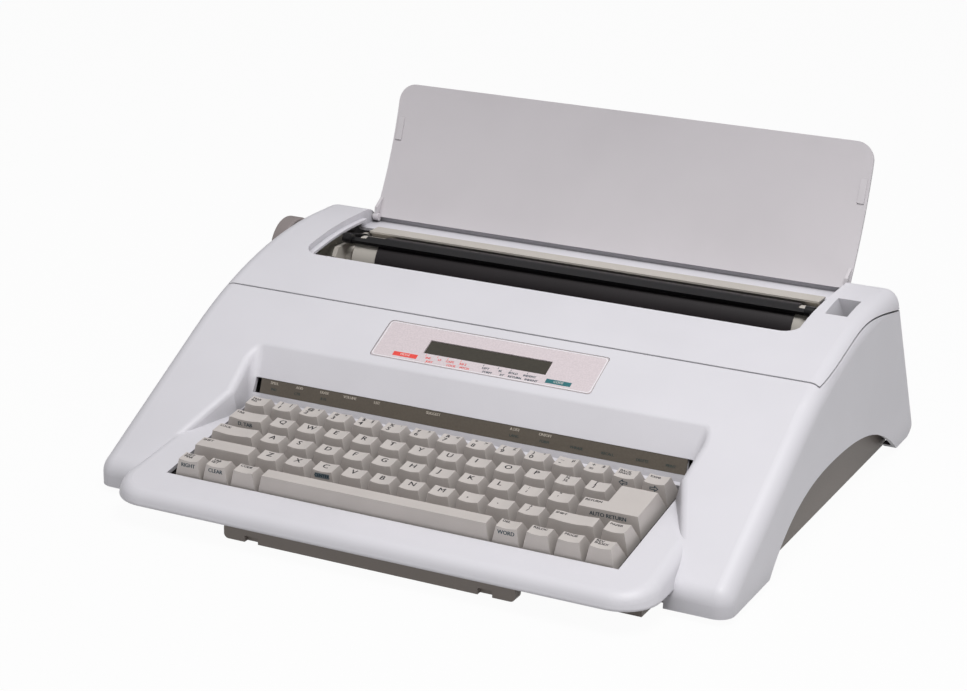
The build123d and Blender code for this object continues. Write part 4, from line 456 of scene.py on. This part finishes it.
def coated_film(name, tone, roughness, coat, speck_mm):
    """A printed film or glass under a clear face: even colour, a faint speckle and a glossy coat."""
    material, tree = new_material(name)
    place = add_node(tree, "ShaderNodeTexCoord")
    speck = add_node(
        tree, "ShaderNodeTexNoise",
        inputs={"Vector": place.outputs["Object"], "Scale": per_metre(speck_mm), "Detail": 2.0},
    )
    tint = add_node(
        tree, "ShaderNodeValToRGB", inputs={"Fac": speck.outputs["Fac"]},
        stops=((0.35, shade(tone, 0.9)), (0.65, tone)),
    )
    shader = add_node(
        tree, "ShaderNodeBsdfPrincipled",
        inputs={"Base Color": tint.outputs["Color"], "Roughness": roughness, "IOR": FILM_IOR,
                "Coat Weight": coat, "Coat Roughness": 0.12},
    )
    add_node(tree, "ShaderNodeOutputMaterial", inputs={"Surface": shader.outputs[0]})
    return material


def printed_ink(name, tone):
    """Pad printed ink: a dull film whose cover is a little uneven."""
    material, tree = new_material(name)
    place = add_node(tree, "ShaderNodeTexCoord")
    cover = add_node(
        tree, "ShaderNodeTexNoise",
        inputs={"Vector": place.outputs["Object"], "Scale": per_metre(0.8), "Detail": 2.0},
    )
    tint = add_node(
        tree, "ShaderNodeValToRGB", inputs={"Fac": cover.outputs["Fac"]},
        stops=((0.3, shade(tone, 1.35)), (0.55, tone)),
    )
    shader = add_node(
        tree, "ShaderNodeBsdfPrincipled",
        inputs={"Base Color": tint.outputs["Color"], "Roughness": 0.5, "IOR": FILM_IOR},
    )
    add_node(tree, "ShaderNodeOutputMaterial", inputs={"Surface": shader.outputs[0]})
    return material


def circuit_board(name, tone):
    """Glass epoxy board: solder mask with paler copper tracks under it."""
    material, tree = new_material(name)
    place = add_node(tree, "ShaderNodeTexCoord")
    track = add_node(
        tree, "ShaderNodeTexBrick", settings={"offset": 0.37, "squash": 1.6, "squash_frequency": 3},
        inputs={"Vector": place.outputs["Object"], "Color1": tone, "Color2": shade(tone, 0.85),
                "Mortar": shade(tone, 1.7), "Scale": per_metre(14.0), "Mortar Size": 0.03},
    )
    shader = add_node(
        tree, "ShaderNodeBsdfPrincipled",
        inputs={"Base Color": track.outputs["Color"], "Roughness": 0.35, "IOR": FILM_IOR},
    )
    add_node(tree, "ShaderNodeOutputMaterial", inputs={"Surface": shader.outputs[0]})
    return material


def laminations(name, tone):
    """Stacked electrical steel: thin sheets that show as lines on the edge, drawn coarse to show."""
    material, tree = new_material(name)
    place = add_node(tree, "ShaderNodeTexCoord")
    sheets = add_node(
        tree, "ShaderNodeTexWave", settings={"bands_direction": "Z"},
        inputs={"Vector": place.outputs["Object"], "Scale": per_metre(8.0), "Distortion": 0.6},
    )
    tint = add_node(
        tree, "ShaderNodeValToRGB", inputs={"Fac": sheets.outputs["Fac"]},
        stops=((0.0, shade(tone, 0.5)), (1.0, tone)),
    )
    shader = add_node(
        tree, "ShaderNodeBsdfPrincipled",
        inputs={"Base Color": tint.outputs["Color"], "Roughness": 0.5, "Metallic": 0.6},
    )
    add_node(tree, "ShaderNodeOutputMaterial", inputs={"Surface": shader.outputs[0]})
    return material


def ink_set(words):
    """The inks of keys, strip and panel, each made once."""
    tones = {"black": words.black, "teal": words.teal, "white": words.white, "red": words.red}
    tones.update((name, srgb(code)) for name, code in INK_CODES.items())
    return {
        name: bpy.data.materials.get("ink_" + name) or printed_ink("ink_" + name, tone)
        for name, tone in tones.items()
    }


def dress(material, *names):
    """Gives CAD nodes their material."""
    for name in names:
        shown = frame["nodes"][name].data
        shown.materials.clear()
        shown.materials.append(material)


def round_edges(radius, steps, *names):
    """Small moulded radius on the sharp edges of CAD nodes."""
    for name in names:
        shown = frame["nodes"][name]
        weld = shown.modifiers.new("weld", "WELD")
        weld.merge_threshold = EDGE_WELD
        bevel = shown.modifiers.new("edge_round", "BEVEL")
        bevel.width = radius
        bevel.segments = steps
        bevel.limit_method = "ANGLE"
        bevel.angle_limit = EDGE_ANGLE
        bevel.use_clamp_overlap = True
        bevel.harden_normals = True


def plane_matrix(origin, up):
    """Matrix of a plane that reads along X, from its origin and its up direction."""
    up = up.normalized()
    turn = Matrix((ALONG_X, up, ALONG_X.cross(up))).transposed()
    return Matrix.Translation(origin) @ turn.to_4x4()


def tilted(angle):
    """Up direction of a plane that leans back by an angle."""
    return Vector((0, math.cos(angle), math.sin(angle)))


def row_v(row):
    """Distance of a key row from the plane's origin, which lies on the upper letter row."""
    return (UPPER_ROW - row) * UNIT


def front_matrix(row):
    """Plane of the front faces of a key row, its origin at the middle of the face."""
    deep = CAP_TOP_DEPTH - (CAP_FRONT_TRIM if row == FRONT_ROW else 0)
    foot = Vector((0, row_v(row) - (UNIT - CAP_GAP) / 2, -CAP_HEIGHT))
    crown = Vector((0, row_v(row) - CAP_TOP_SHIFT - deep / 2, 0))
    return plane_matrix(KEY_ORIGIN, tilted(KEY_TILT)) @ plane_matrix((foot + crown) / 2, crown - foot)


def body_of_node(name):
    """The body that a CAD node rides on."""
    return body_of(frame["nodes"][name])[0]


def cap_middle(left, wide=1.0):
    """Place of a cap's middle along its row."""
    return (left + wide / 2 - BLOCK_UNITS / 2) * UNIT + KEY_SHIFT


def top_middle(row):
    """Place of the middle of a row's cap tops across the rows."""
    return row_v(row) - CAP_TOP_SHIFT


def arrow(x, way):
    """Outline of a small arrow on a key front."""
    return [(x + way * along * MM, FRONT_UP + up * MM) for along, up in ARROW_SHAPE]


class PrintSurface:
    """Collects flat words and marks, then lays them on a CAD node as thin printed film."""

    def __init__(self, node, matrix, settings):
        self.matrix = matrix
        self.ink = settings.ink
        self.strike = settings.strike
        self.base = 0.0
        self.flat = bmesh.new()
        solid = bmesh.new()
        solid.from_mesh(frame["nodes"][node].data)
        self.tree = BVHTree.FromBMesh(solid)
        solid.free()

    def lift(self, amount):
        """Raises what is collected, for print on top of print."""
        self.base = amount

    def words(self, text, at, height, align="LEFT", strikes=1):
        """Adds words whose capitals have the given height; bold ones are struck twice."""
        curve = bpy.data.curves.new("words", "FONT")
        curve.body = text
        curve.size = height / CAPITAL_SHARE
        curve.align_x = align
        curve.align_y = "CENTER"
        curve.space_line = LINE_SHARE
        curve.resolution_u = LETTER_STEPS
        holder = bpy.data.objects.new("words", curve)
        for strike in range(strikes):
            made = bpy.data.meshes.new_from_object(holder)
            made.transform(Matrix.Translation((at[0] + strike * self.strike, at[1], 0)))
            self.flat.from_mesh(made)
            bpy.data.meshes.remove(made)
        bpy.data.objects.remove(holder)
        bpy.data.curves.remove(curve)

    def point(self, x, y):
        """Adds one point."""
        return self.flat.verts.new((x, y, 0))

    def band(self, outer, inner):
        """Fills the band between two closed rings of points."""
        count = len(outer)
        for i in range(count):
            j = (i + 1) % count
            self.flat.faces.new((outer[i], outer[j], inner[j], inner[i]))

    def outline(self, points, line):
        """Adds a closed line of a given width along the inside of an outline."""
        corners = [Vector(point) for point in points]
        count = len(corners)
        area = sum(corners[i].cross(corners[(i + 1) % count]) for i in range(count))
        turn = 1.0 if area > 0 else -1.0
        outer, inner = [], []
        for i, corner in enumerate(corners):
            before = (corner - corners[i - 1]).normalized()
            after = (corners[(i + 1) % count] - corner).normalized()
            inwards = (Vector((-before.y, before.x)) + Vector((-after.y, after.x))) * turn
            inwards *= 2 * line / max(inwards.length_squared, MITRE_LIMIT)
            outer.append(self.point(corner.x, corner.y))
            inner.append(self.point(corner.x + inwards.x, corner.y + inwards.y))
        self.band(outer, inner)

    def bar(self, middle, size):
        """Adds a filled bar, cut into strips so that it follows the surface, sizes in millimetres."""
        left, low = (middle[0] - size[0] / 2) * MM, (middle[1] - size[1] / 2) * MM
        wide, high = size[0] * MM, size[1] * MM
        columns = []
        for i in range(BAR_STEPS + 1):
            x = left + wide * i / BAR_STEPS
            columns.append((self.point(x, low), self.point(x, low + high)))
        for first, second in zip(columns, columns[1:]):
            self.flat.faces.new((first[0], second[0], second[1], first[1]))

    def tick(self, x, high, low):
        """Adds a thin upright line."""
        left, right = x - TICK_HALF, x + TICK_HALF
        corners = ((left, low), (right, low), (right, high), (left, high))
        self.flat.faces.new([self.point(*corner) for corner in corners])

    def frame_line(self, half_w, half_h, corner, line):
        """Adds a thin rounded outline."""
        rings = []
        for reach in (corner, corner - line):
            ring = []
            for turn, (side, end) in enumerate(((1, 1), (-1, 1), (-1, -1), (1, -1))):
                for degrees in range(0, 90 + CORNER_DEGREES, CORNER_DEGREES):
                    angle = math.radians(90 * turn + degrees)
                    x = side * (half_w - corner) + reach * math.cos(angle)
                    y = end * (half_h - corner) + reach * math.sin(angle)
                    ring.append(self.point(x, y))
            rings.append(ring)
        self.band(*rings)

    def make(self, name, material, body, slot):
        """Lays the collected print on the surface as one closed film and starts a new one."""
        bmesh.ops.remove_doubles(self.flat, verts=self.flat.verts, dist=POINT_MERGE)
        bmesh.ops.triangulate(self.flat, faces=self.flat.faces)
        facing = (self.matrix.to_3x3() @ Vector((0, 0, 1))).normalized()
        for vert in self.flat.verts:
            above = self.matrix @ vert.co + facing * CAST_ABOVE
            hit = self.tree.ray_cast(above, -facing, CAST_REACH)[0]
            spot = hit if hit is not None else self.matrix @ vert.co
            vert.co = spot + facing * self.base
        for face in self.flat.faces:
            face.normal_update()
            if face.normal.dot(facing) < 0:
                face.normal_flip()
        top = bmesh.ops.extrude_face_region(self.flat, geom=self.flat.faces[:])
        raised = [item for item in top["geom"] if isinstance(item, bmesh.types.BMVert)]
        bmesh.ops.translate(self.flat, verts=raised, vec=facing * self.ink)
        bmesh.ops.recalc_face_normals(self.flat, faces=self.flat.faces)
        mesh = bpy.data.meshes.new(name)
        self.flat.to_mesh(mesh)
        self.flat.free()
        self.flat = bmesh.new()
        self.base = 0.0
        mesh.materials.append(material)
        piece = bpy.data.objects.new(name, mesh)
        bpy.context.scene.collection.objects.link(piece)
        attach(piece, body)


class TYPEWRITER_OT_shell(bpy.types.Operator):
    """Finishes the housing, cover, lid, base, handle and small outer parts"""

    bl_idname = "typewriter.shell"
    bl_label = "Finish the shell"

    def execute(self, context):
        finish = context.scene.typewriter_finish
        # ABS, moulded in a spark eroded tool: a fine even grain that keeps the gloss low, and painted shade
        # in the well, seams and recesses.
        # The real grain is about 0.2 mm and is drawn coarser so that it shows.
        white = moulded_plastic(
            "abs_shell_white", finish.shell, roughness=0.48, grain_mm=0.9, deep_mm=0.05, drift=0.965,
            shade_reach_mm=30.0, shade_darkest=0.42,
        )
        dress(white, "upper_housing", "top_cover")
        # The same ABS in grey, from a smoother tool: flatter, with painted shade only in its tight corners,
        # which outlines the hooks.
        grey = moulded_plastic(
            "abs_lid_grey", finish.lid, roughness=0.45, grain_mm=0.8, deep_mm=0.03, drift=0.96,
            shade_reach_mm=4.0, shade_darkest=0.5,
        )
        dress(grey, "paper_lid")
        # Taupe ABS of what stands in the shade below: duller and coarser than the shell.
        taupe = moulded_plastic("abs_base_taupe", finish.base, roughness=0.55, grain_mm=1.0, deep_mm=0.06)
        dress(taupe, "base_tray", "carry_handle")
        # Warm grey ABS of the knob: satin from handling.
        dress(
            moulded_plastic("abs_knob_grey", finish.knob, roughness=0.5, grain_mm=1.0, deep_mm=0.05),
            "platen_knob",
        )
        # Nitrile rubber feet and gland: dull, slightly dusty.
        rubber = moulded_plastic(
            "nitrile_rubber_black", srgb("2B2B2D"), roughness=0.75, grain_mm=1.4, deep_mm=0.05, drift=0.8,
            stain_mm=9.0,
        )
        dress(rubber, "rubber_feet", "cord_gland")
        # Nylon of the switch: black and a little shiny.
        nylon = moulded_plastic("nylon_switch_black", finish.black, roughness=0.4, grain_mm=1.0, deep_mm=0.03)
        dress(nylon, "power_switch", "switch_rocker")
        round_edges(finish.edge_round, SMALL_EDGE_STEPS, "carry_handle", "platen_knob", "switch_rocker")
        return {"FINISHED"}


class TYPEWRITER_OT_keys(bpy.types.Operator):
    """Finishes the key caps and what lies under them"""

    bl_idname = "typewriter.keys"
    bl_label = "Finish the keys"

    def execute(self, context):
        finish = context.scene.typewriter_finish
        # PBT caps, moulded with a light grain: satin, with rounded edges and painted shade down between them.
        caps = moulded_plastic(
            "pbt_key_caps", finish.caps, roughness=0.46, grain_mm=0.7, deep_mm=0.04, drift=0.96,
            stain_mm=25.0, shade_reach_mm=14.0, shade_darkest=0.66,
        )
        dress(caps, *KEY_CAPS)
        round_edges(finish.edge_round, CAP_EDGE_STEPS, *KEY_CAPS)
        # Dark ABS of the plate: dull, so that the gaps between the caps stay deep.
        plate = moulded_plastic("abs_key_plate", srgb("3A3836"), roughness=0.6, grain_mm=1.2, deep_mm=0.04)
        dress(plate, "key_plate")
        # Silicone rubber sheet with domes: milky grey and soft looking.
        silicone = moulded_plastic(
            "silicone_membrane", srgb("9A9C9E"), roughness=0.6, grain_mm=1.5, deep_mm=0.03
        )
        dress(silicone, "contact_membrane")
        # Glass epoxy: green mask with paler lines of copper.
        dress(circuit_board("glass_epoxy_board", finish.board), "keyboard_board", "main_board")
        return {"FINISHED"}


class TYPEWRITER_OT_works(bpy.types.Operator):
    """Finishes the paper feed, print works and electrics"""

    bl_idname = "typewriter.works"
    bl_label = "Finish the works"

    def execute(self, context):
        finish = context.scene.typewriter_finish
        # Nitrile rubber, ground round: dull with fine rings along the roller, drawn at 1 mm to show.
        platen = moulded_plastic(
            "nitrile_platen_rubber", finish.platen, roughness=0.55, grain_mm=1.0, deep_mm=0.04, drift=0.85,
            stain_mm=30.0, stretch=ROUND_THE_ROLLER,
        )
        dress(platen, "platen_roller", "feed_rollers")
        # Bright drawn steel: streaks run round the bar.
        steel = bare_metal(
            "steel_bright_drawn", srgb("C4C4C2"), roughness=0.28, streak_mm=0.8, stretch=ROUND_THE_BAR
        )
        dress(steel, "platen_shaft", "guide_rails", "cover_hinge_pins", "hammer")
        # Zinc plated sheet: grey with a soft cloudy spangle.
        zinc = bare_metal("steel_zinc_plated", finish.steel, roughness=0.38, streak_mm=6.0, stretch=PLAIN)
        dress(zinc, "cross_plate", "feed_roller_carrier", "case_screws")
        # Cream ABS of the inner mouldings: plain and a little waxy.
        cream = moulded_plastic("abs_works_cream", finish.frame, roughness=0.5, grain_mm=1.2, deep_mm=0.04)
        dress(cream, "side_frames", "paper_pan", "platen_core", "release_lever")
        # Black ABS mouldings of the works: smooth enough to catch soft lights.
        black = moulded_plastic(
            "abs_works_black", finish.black, roughness=0.36, grain_mm=1.0, deep_mm=0.03, drift=0.85
        )
        dress(black, "paper_bail", "ribbon_cassette", "carriage")
        # Acetal: milky, waxy and smooth.
        acetal = moulded_plastic("acetal_natural", finish.acetal, roughness=0.42, grain_mm=2.0, deep_mm=0.02)
        dress(acetal, "platen_gear", "line_feed_idler", "line_feed_pinion")
        dress(acetal, "belt_drive_pulley", "belt_idler_pulley")
        # Glass filled nylon wheel: dark and even.
        nylon = moulded_plastic(
            "nylon_type_wheel", srgb("34343A"), roughness=0.45, grain_mm=1.0, deep_mm=0.02
        )
        dress(nylon, "type_wheel")
        # Neoprene belt with a cloth back: black and quite dull.
        belt = moulded_plastic("neoprene_belt", srgb("222226"), roughness=0.7, grain_mm=0.8, deep_mm=0.06)
        dress(belt, "carriage_belt")
        # Motor cans: drawn steel with a dull nickel flash.
        can = bare_metal("steel_motor_can", srgb("8E8E8C"), roughness=0.42, streak_mm=3.0, stretch=PLAIN)
        dress(can, "line_feed_motor", "carriage_motor", "type_wheel_motor")
        # Electrical steel of the transformer: dark lines between grey sheets.
        dress(laminations("steel_laminations", srgb("6E6862")), "transformer")
        return {"FINISHED"}


class TYPEWRITER_OT_display(bpy.types.Operator):
    """Finishes the display panel and function strip and prints their words"""

    bl_idname = "typewriter.display"
    bl_label = "Finish the display and strip"

    def execute(self, context):
        finish = context.scene.typewriter_finish
        words = context.scene.typewriter_words
        # Polyester film, printed on its back: even colour under a satin face.
        film = coated_film("polyester_panel_film", finish.panel, roughness=0.4, coat=0.1, speck_mm=1.0)
        dress(film, "display_panel")
        # The same film in dark taupe, a little shinier.
        film = coated_film("polyester_strip_film", finish.strip, roughness=0.35, coat=0.2, speck_mm=1.2)
        dress(film, "function_strip")
        # Display glass over a resting liquid crystal cell: dark olive with a clear shine.
        glass = coated_film("lcd_glass_olive", finish.display, roughness=0.15, coat=0.6, speck_mm=2.0)
        dress(glass, "lcd_module")
        inks = ink_set(words)
        self.print_panel(words, inks)
        self.print_strip(words, inks)
        return {"FINISHED"}

    def print_panel(self, words, inks):
        """Outlines, label bars, words and ticks of the display panel."""
        panel = PrintSurface("display_panel", plane_matrix(PANEL_ORIGIN, tilted(PANEL_TILT)), words)
        half_w, half_h = PANEL_SIZE[0] / 2, PANEL_SIZE[1] / 2
        for name, ink, inset, line in PANEL_LINES:
            panel.frame_line(half_w - inset * MM, half_h - inset * MM, PANEL_CORNER * MM, line * MM)
            panel.make(name, inks[ink], "chassis", "panel")
        for name, ink, middle, word in PANEL_LABELS:
            panel.bar(middle, LABEL_SIZE)
            panel.make("panel_label_" + name, inks[ink], "chassis", "panel")
            panel.words(word, (middle[0] * MM, middle[1] * MM), words.label, "CENTER")
            panel.lift(words.ink * OVERPRINT)
            panel.make("panel_label_word_" + name, inks["pale"], "chassis", "panel")
        for ink, columns in PANEL_WORDS:
            for at, upper, lower in columns:
                under = at + LOWER_SHIFT
                panel.words(upper, (at * MM, PANEL_UPPER * MM), words.label, "CENTER", BOLD)
                panel.words(lower, (under * MM, PANEL_LOWER * MM), words.label, "CENTER", BOLD)
                panel.tick((at - LOWER_SHIFT) * MM, TICK_TOP * MM, TICK_FOOT * MM)
            panel.make("panel_words_" + ink, inks[ink], "chassis", "panel")

    def print_strip(self, words, inks):
        """Two rows of words on the function strip."""
        strip = PrintSurface(
            "function_strip", plane_matrix((STRIP_LOW + STRIP_HIGH) / 2, STRIP_HIGH - STRIP_LOW), words
        )
        for name, ink, height, entries in STRIP_WORDS:
            for at, text in entries:
                strip.words(text, (at * MM, height * MM), words.label, "CENTER", BOLD)
            strip.make(name, inks[ink], "chassis", "strip")


class TYPEWRITER_OT_legends(bpy.types.Operator):
    """Prints the letters, digits, signs and words on the key caps"""

    bl_idname = "typewriter.legends"
    bl_label = "Print the key legends"

    def execute(self, context):
        words = context.scene.typewriter_words
        inks = ink_set(words)
        self.print_tops(words, inks["black"])
        self.print_fronts(words, inks["teal"])
        self.print_box(words, inks["box"], inks["teal"])
        return {"FINISHED"}

    def print_tops(self, words, ink):
        """Digits, letters and words on the cap tops, one piece for each node."""
        plane = plane_matrix(KEY_ORIGIN, tilted(KEY_TILT))
        tops = {name: PrintSurface(name, plane, words) for name in KEY_CAPS if name != "space_bar"}
        heights = (words.digit, words.sign, words.sign)
        for step, signs in enumerate(DIGIT_SIGNS):
            x, v = cap_middle(DIGITS_LEFT + step), top_middle(NUMBER_ROW)
            for sign, (right, up), height in zip(signs, SIGN_PLACES, heights):
                tops["number_keys"].words(sign, (x + right * MM, v + up * MM), height, strikes=BOLD)
        for name, first, row, letters in LETTER_ROWS:
            for step, letter in enumerate(letters):
                at = (cap_middle(first + step) - LETTER_LEFT, top_middle(row) + LETTER_UP)
                height = words.letter if len(letter) == 1 else words.sign
                tops[name].words(letter, at, height, strikes=BOLD)
        for name, left, wide, row, top, _ in WORD_KEYS:
            edge = cap_middle(left, wide) - (wide * UNIT - CAP_TOP_TRIM) / 2 + WORD_IN
            up = PAIR_UP if "\n" in top else WORD_UP
            tops[name].words(top, (edge, top_middle(row) + up), words.word, strikes=BOLD)
        for name, surface in tops.items():
            surface.make("legend_" + name, ink, body_of_node(name), "key")

    def print_fronts(self, words, ink):
        """Second functions on the cap fronts, one piece for each node that has one."""
        fronts = {}
        for name, left, wide, row, _, front in WORD_KEYS:
            if not front:
                continue
            if name not in fronts:
                fronts[name] = PrintSurface(name, front_matrix(row), words)
            x = cap_middle(left, wide)
            if front in ARROW_WAYS:
                fronts[name].outline(arrow(x, ARROW_WAYS[front]), ARROW_LINE)
            else:
                fronts[name].words(front, (x, FRONT_UP), words.front, "CENTER", BOLD)
        for name, surface in fronts.items():
            surface.make("front_" + name, ink, body_of_node(name), "key")

    def print_box(self, words, box_ink, word_ink):
        """The boxed word on the front of one letter key."""
        body = body_of_node(BOXED_NODE)
        x = cap_middle(BOXED_LEFT)
        boxed = PrintSurface(BOXED_NODE, front_matrix(LOWER_ROW), words)
        boxed.bar((x / MM, FRONT_UP / MM), BOX_SIZE)
        boxed.make("front_box", box_ink, body, "key")
        boxed.words(BOXED_WORD, (x, FRONT_UP), words.word, "CENTER", BOLD)
        boxed.lift(words.ink * OVERPRINT)
        boxed.make("front_box_word", word_ink, body, "key")


class TYPEWRITER_OT_stage(bpy.types.Operator):
    """Lays the floor, lights and camera"""

    bl_idname = "typewriter.stage"
    bl_label = "Lay the stage"

    def execute(self, context):
        scene = context.scene
        stage = scene.typewriter_stage
        scene.view_settings.view_transform = "Standard"
        self.lay_floor(scene, stage)
        self.light_sky(scene, stage)
        self.hang_light(scene, "key_light", stage.key_power, KEY_LIGHT_PLACE, KEY_LIGHT_WIDE)
        self.hang_light(scene, "fill_light", stage.fill_power, FILL_LIGHT_PLACE, FILL_LIGHT_WIDE)
        self.set_camera(scene)
        return {"FINISHED"}

    def lay_floor(self, scene, stage):
        """A pale floor that stays white for the camera and for reflections, and takes a faint shadow."""
        half = stage.floor_size / 2
        corners = [(-half, -half, 0), (half, -half, 0), (half, half, 0), (-half, half, 0)]
        mesh = bpy.data.meshes.new("floor")
        mesh.from_pydata(corners, [], [(0, 1, 2, 3)])
        # Matt studio paper: an even near white with no grain to be seen at this distance.
        material, tree = new_material("floor_paper")
        rays = add_node(tree, "ShaderNodeLightPath")
        seen = add_node(
            tree, "ShaderNodeMath", settings={"operation": "MAXIMUM"},
            inputs={0: rays.outputs["Is Camera Ray"], 1: rays.outputs["Is Glossy Ray"]},
        )
        shown = add_node(
            tree, "ShaderNodeMath", settings={"operation": "MAXIMUM"},
            inputs={0: seen.outputs[0], 1: rays.outputs["Is Transmission Ray"]},
        )
        share = add_node(
            tree, "ShaderNodeMath", settings={"operation": "MULTIPLY"},
            inputs={0: shown.outputs[0], 1: stage.floor_white},
        )
        paper = add_node(tree, "ShaderNodeBsdfDiffuse", inputs={"Color": stage.floor})
        white = add_node(tree, "ShaderNodeEmission", inputs={"Color": WHITE, "Strength": 1.0})
        mixed = add_node(
            tree, "ShaderNodeMixShader",
            inputs={0: share.outputs[0], 1: paper.outputs[0], 2: white.outputs[0]},
        )
        add_node(tree, "ShaderNodeOutputMaterial", inputs={"Surface": mixed.outputs[0]})
        mesh.materials.append(material)
        floor = bpy.data.objects.new("floor", mesh)
        scene.collection.objects.link(floor)

    def light_sky(self, scene, stage):
        """Even light all round, white where the camera sees it."""
        world = bpy.data.worlds.new("studio")
        scene.world = world
        world.use_nodes = True
        tree = world.node_tree
        tree.nodes.clear()
        rays = add_node(tree, "ShaderNodeLightPath")
        soft = add_node(tree, "ShaderNodeBackground", inputs={"Color": WHITE, "Strength": stage.sky})
        white = add_node(tree, "ShaderNodeBackground", inputs={"Color": WHITE, "Strength": 1.0})
        mixed = add_node(
            tree, "ShaderNodeMixShader",
            inputs={0: rays.outputs["Is Camera Ray"], 1: soft.outputs[0], 2: white.outputs[0]},
        )
        add_node(tree, "ShaderNodeOutputWorld", inputs={"Surface": mixed.outputs[0]})

    def hang_light(self, scene, name, power, place, wide):
        """A large soft light turned to the middle of the machine."""
        lamp = bpy.data.lights.new(name, "AREA")
        lamp.energy = power
        lamp.shape = "DISK"
        lamp.size = wide
        holder = bpy.data.objects.new(name, lamp)
        holder.location = place
        aim = LIGHT_AIM - Vector(place)
        holder.rotation_euler = aim.to_track_quat("-Z", "Y").to_euler()
        scene.collection.objects.link(holder)

    def set_camera(self, scene):
        """The camera of the photograph."""
        lens = bpy.data.cameras.new("camera")
        lens.sensor_width = SENSOR_MM
        lens.lens = FOCAL_PIXELS * SENSOR_MM / IMAGE_WIDTH
        lens.clip_start = CAMERA_NEAR
        lens.clip_end = CAMERA_FAR
        holder = bpy.data.objects.new("camera", lens)
        to_camera = Matrix.Rotation(CAMERA_TURN.length, 3, CAMERA_TURN.normalized())
        flip = Matrix.Diagonal((1, -1, -1))
        holder.matrix_world = Matrix.Translation(CAMERA_PLACE) @ (to_camera.transposed() @ flip).to_4x4()
        scene.collection.objects.link(holder)
        scene.camera = holder


class TYPEWRITER_PT_panel(bpy.types.Panel):
    """Lists the steps and settings"""

    bl_label = "Typewriter"
    bl_idname = "TYPEWRITER_PT_panel"
    bl_space_type = "VIEW_3D"
    bl_region_type = "UI"
    bl_category = "Typewriter"

    def draw(self, context):
        for operator in OPERATORS:
            self.layout.operator(operator.bl_idname)
        for holder in GROUPS:
            group = getattr(context.scene, holder)
            box = self.layout.box()
            for name in group.__annotations__:
                box.prop(group, name)


GROUPS = {
    "typewriter_finish": TYPEWRITER_PG_finish,
    "typewriter_words": TYPEWRITER_PG_words,
    "typewriter_stage": TYPEWRITER_PG_stage,
}
OPERATORS = (
    TYPEWRITER_OT_shell, TYPEWRITER_OT_keys, TYPEWRITER_OT_works, TYPEWRITER_OT_display,
    TYPEWRITER_OT_legends, TYPEWRITER_OT_stage,
)


def register():
    """Registers the settings, steps and sidebar."""
    for name, group in GROUPS.items():
        bpy.utils.register_class(group)
        setattr(bpy.types.Scene, name, bpy.props.PointerProperty(type=group))
    for operator in OPERATORS:
        bpy.utils.register_class(operator)
    bpy.utils.register_class(TYPEWRITER_PT_panel)


def unregister():
    """Takes them away again."""
    bpy.utils.unregister_class(TYPEWRITER_PT_panel)
    for operator in reversed(OPERATORS):
        bpy.utils.unregister_class(operator)
    for name, group in GROUPS.items():
        delattr(bpy.types.Scene, name)
        bpy.utils.unregister_class(group)


def main():
    """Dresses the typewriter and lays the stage."""
    register()
    bpy.ops.typewriter.shell()
    bpy.ops.typewriter.keys()
    bpy.ops.typewriter.works()
    bpy.ops.typewriter.display()
    bpy.ops.typewriter.legends()
    bpy.ops.typewriter.stage()


if __name__ == "__main__":
    main()
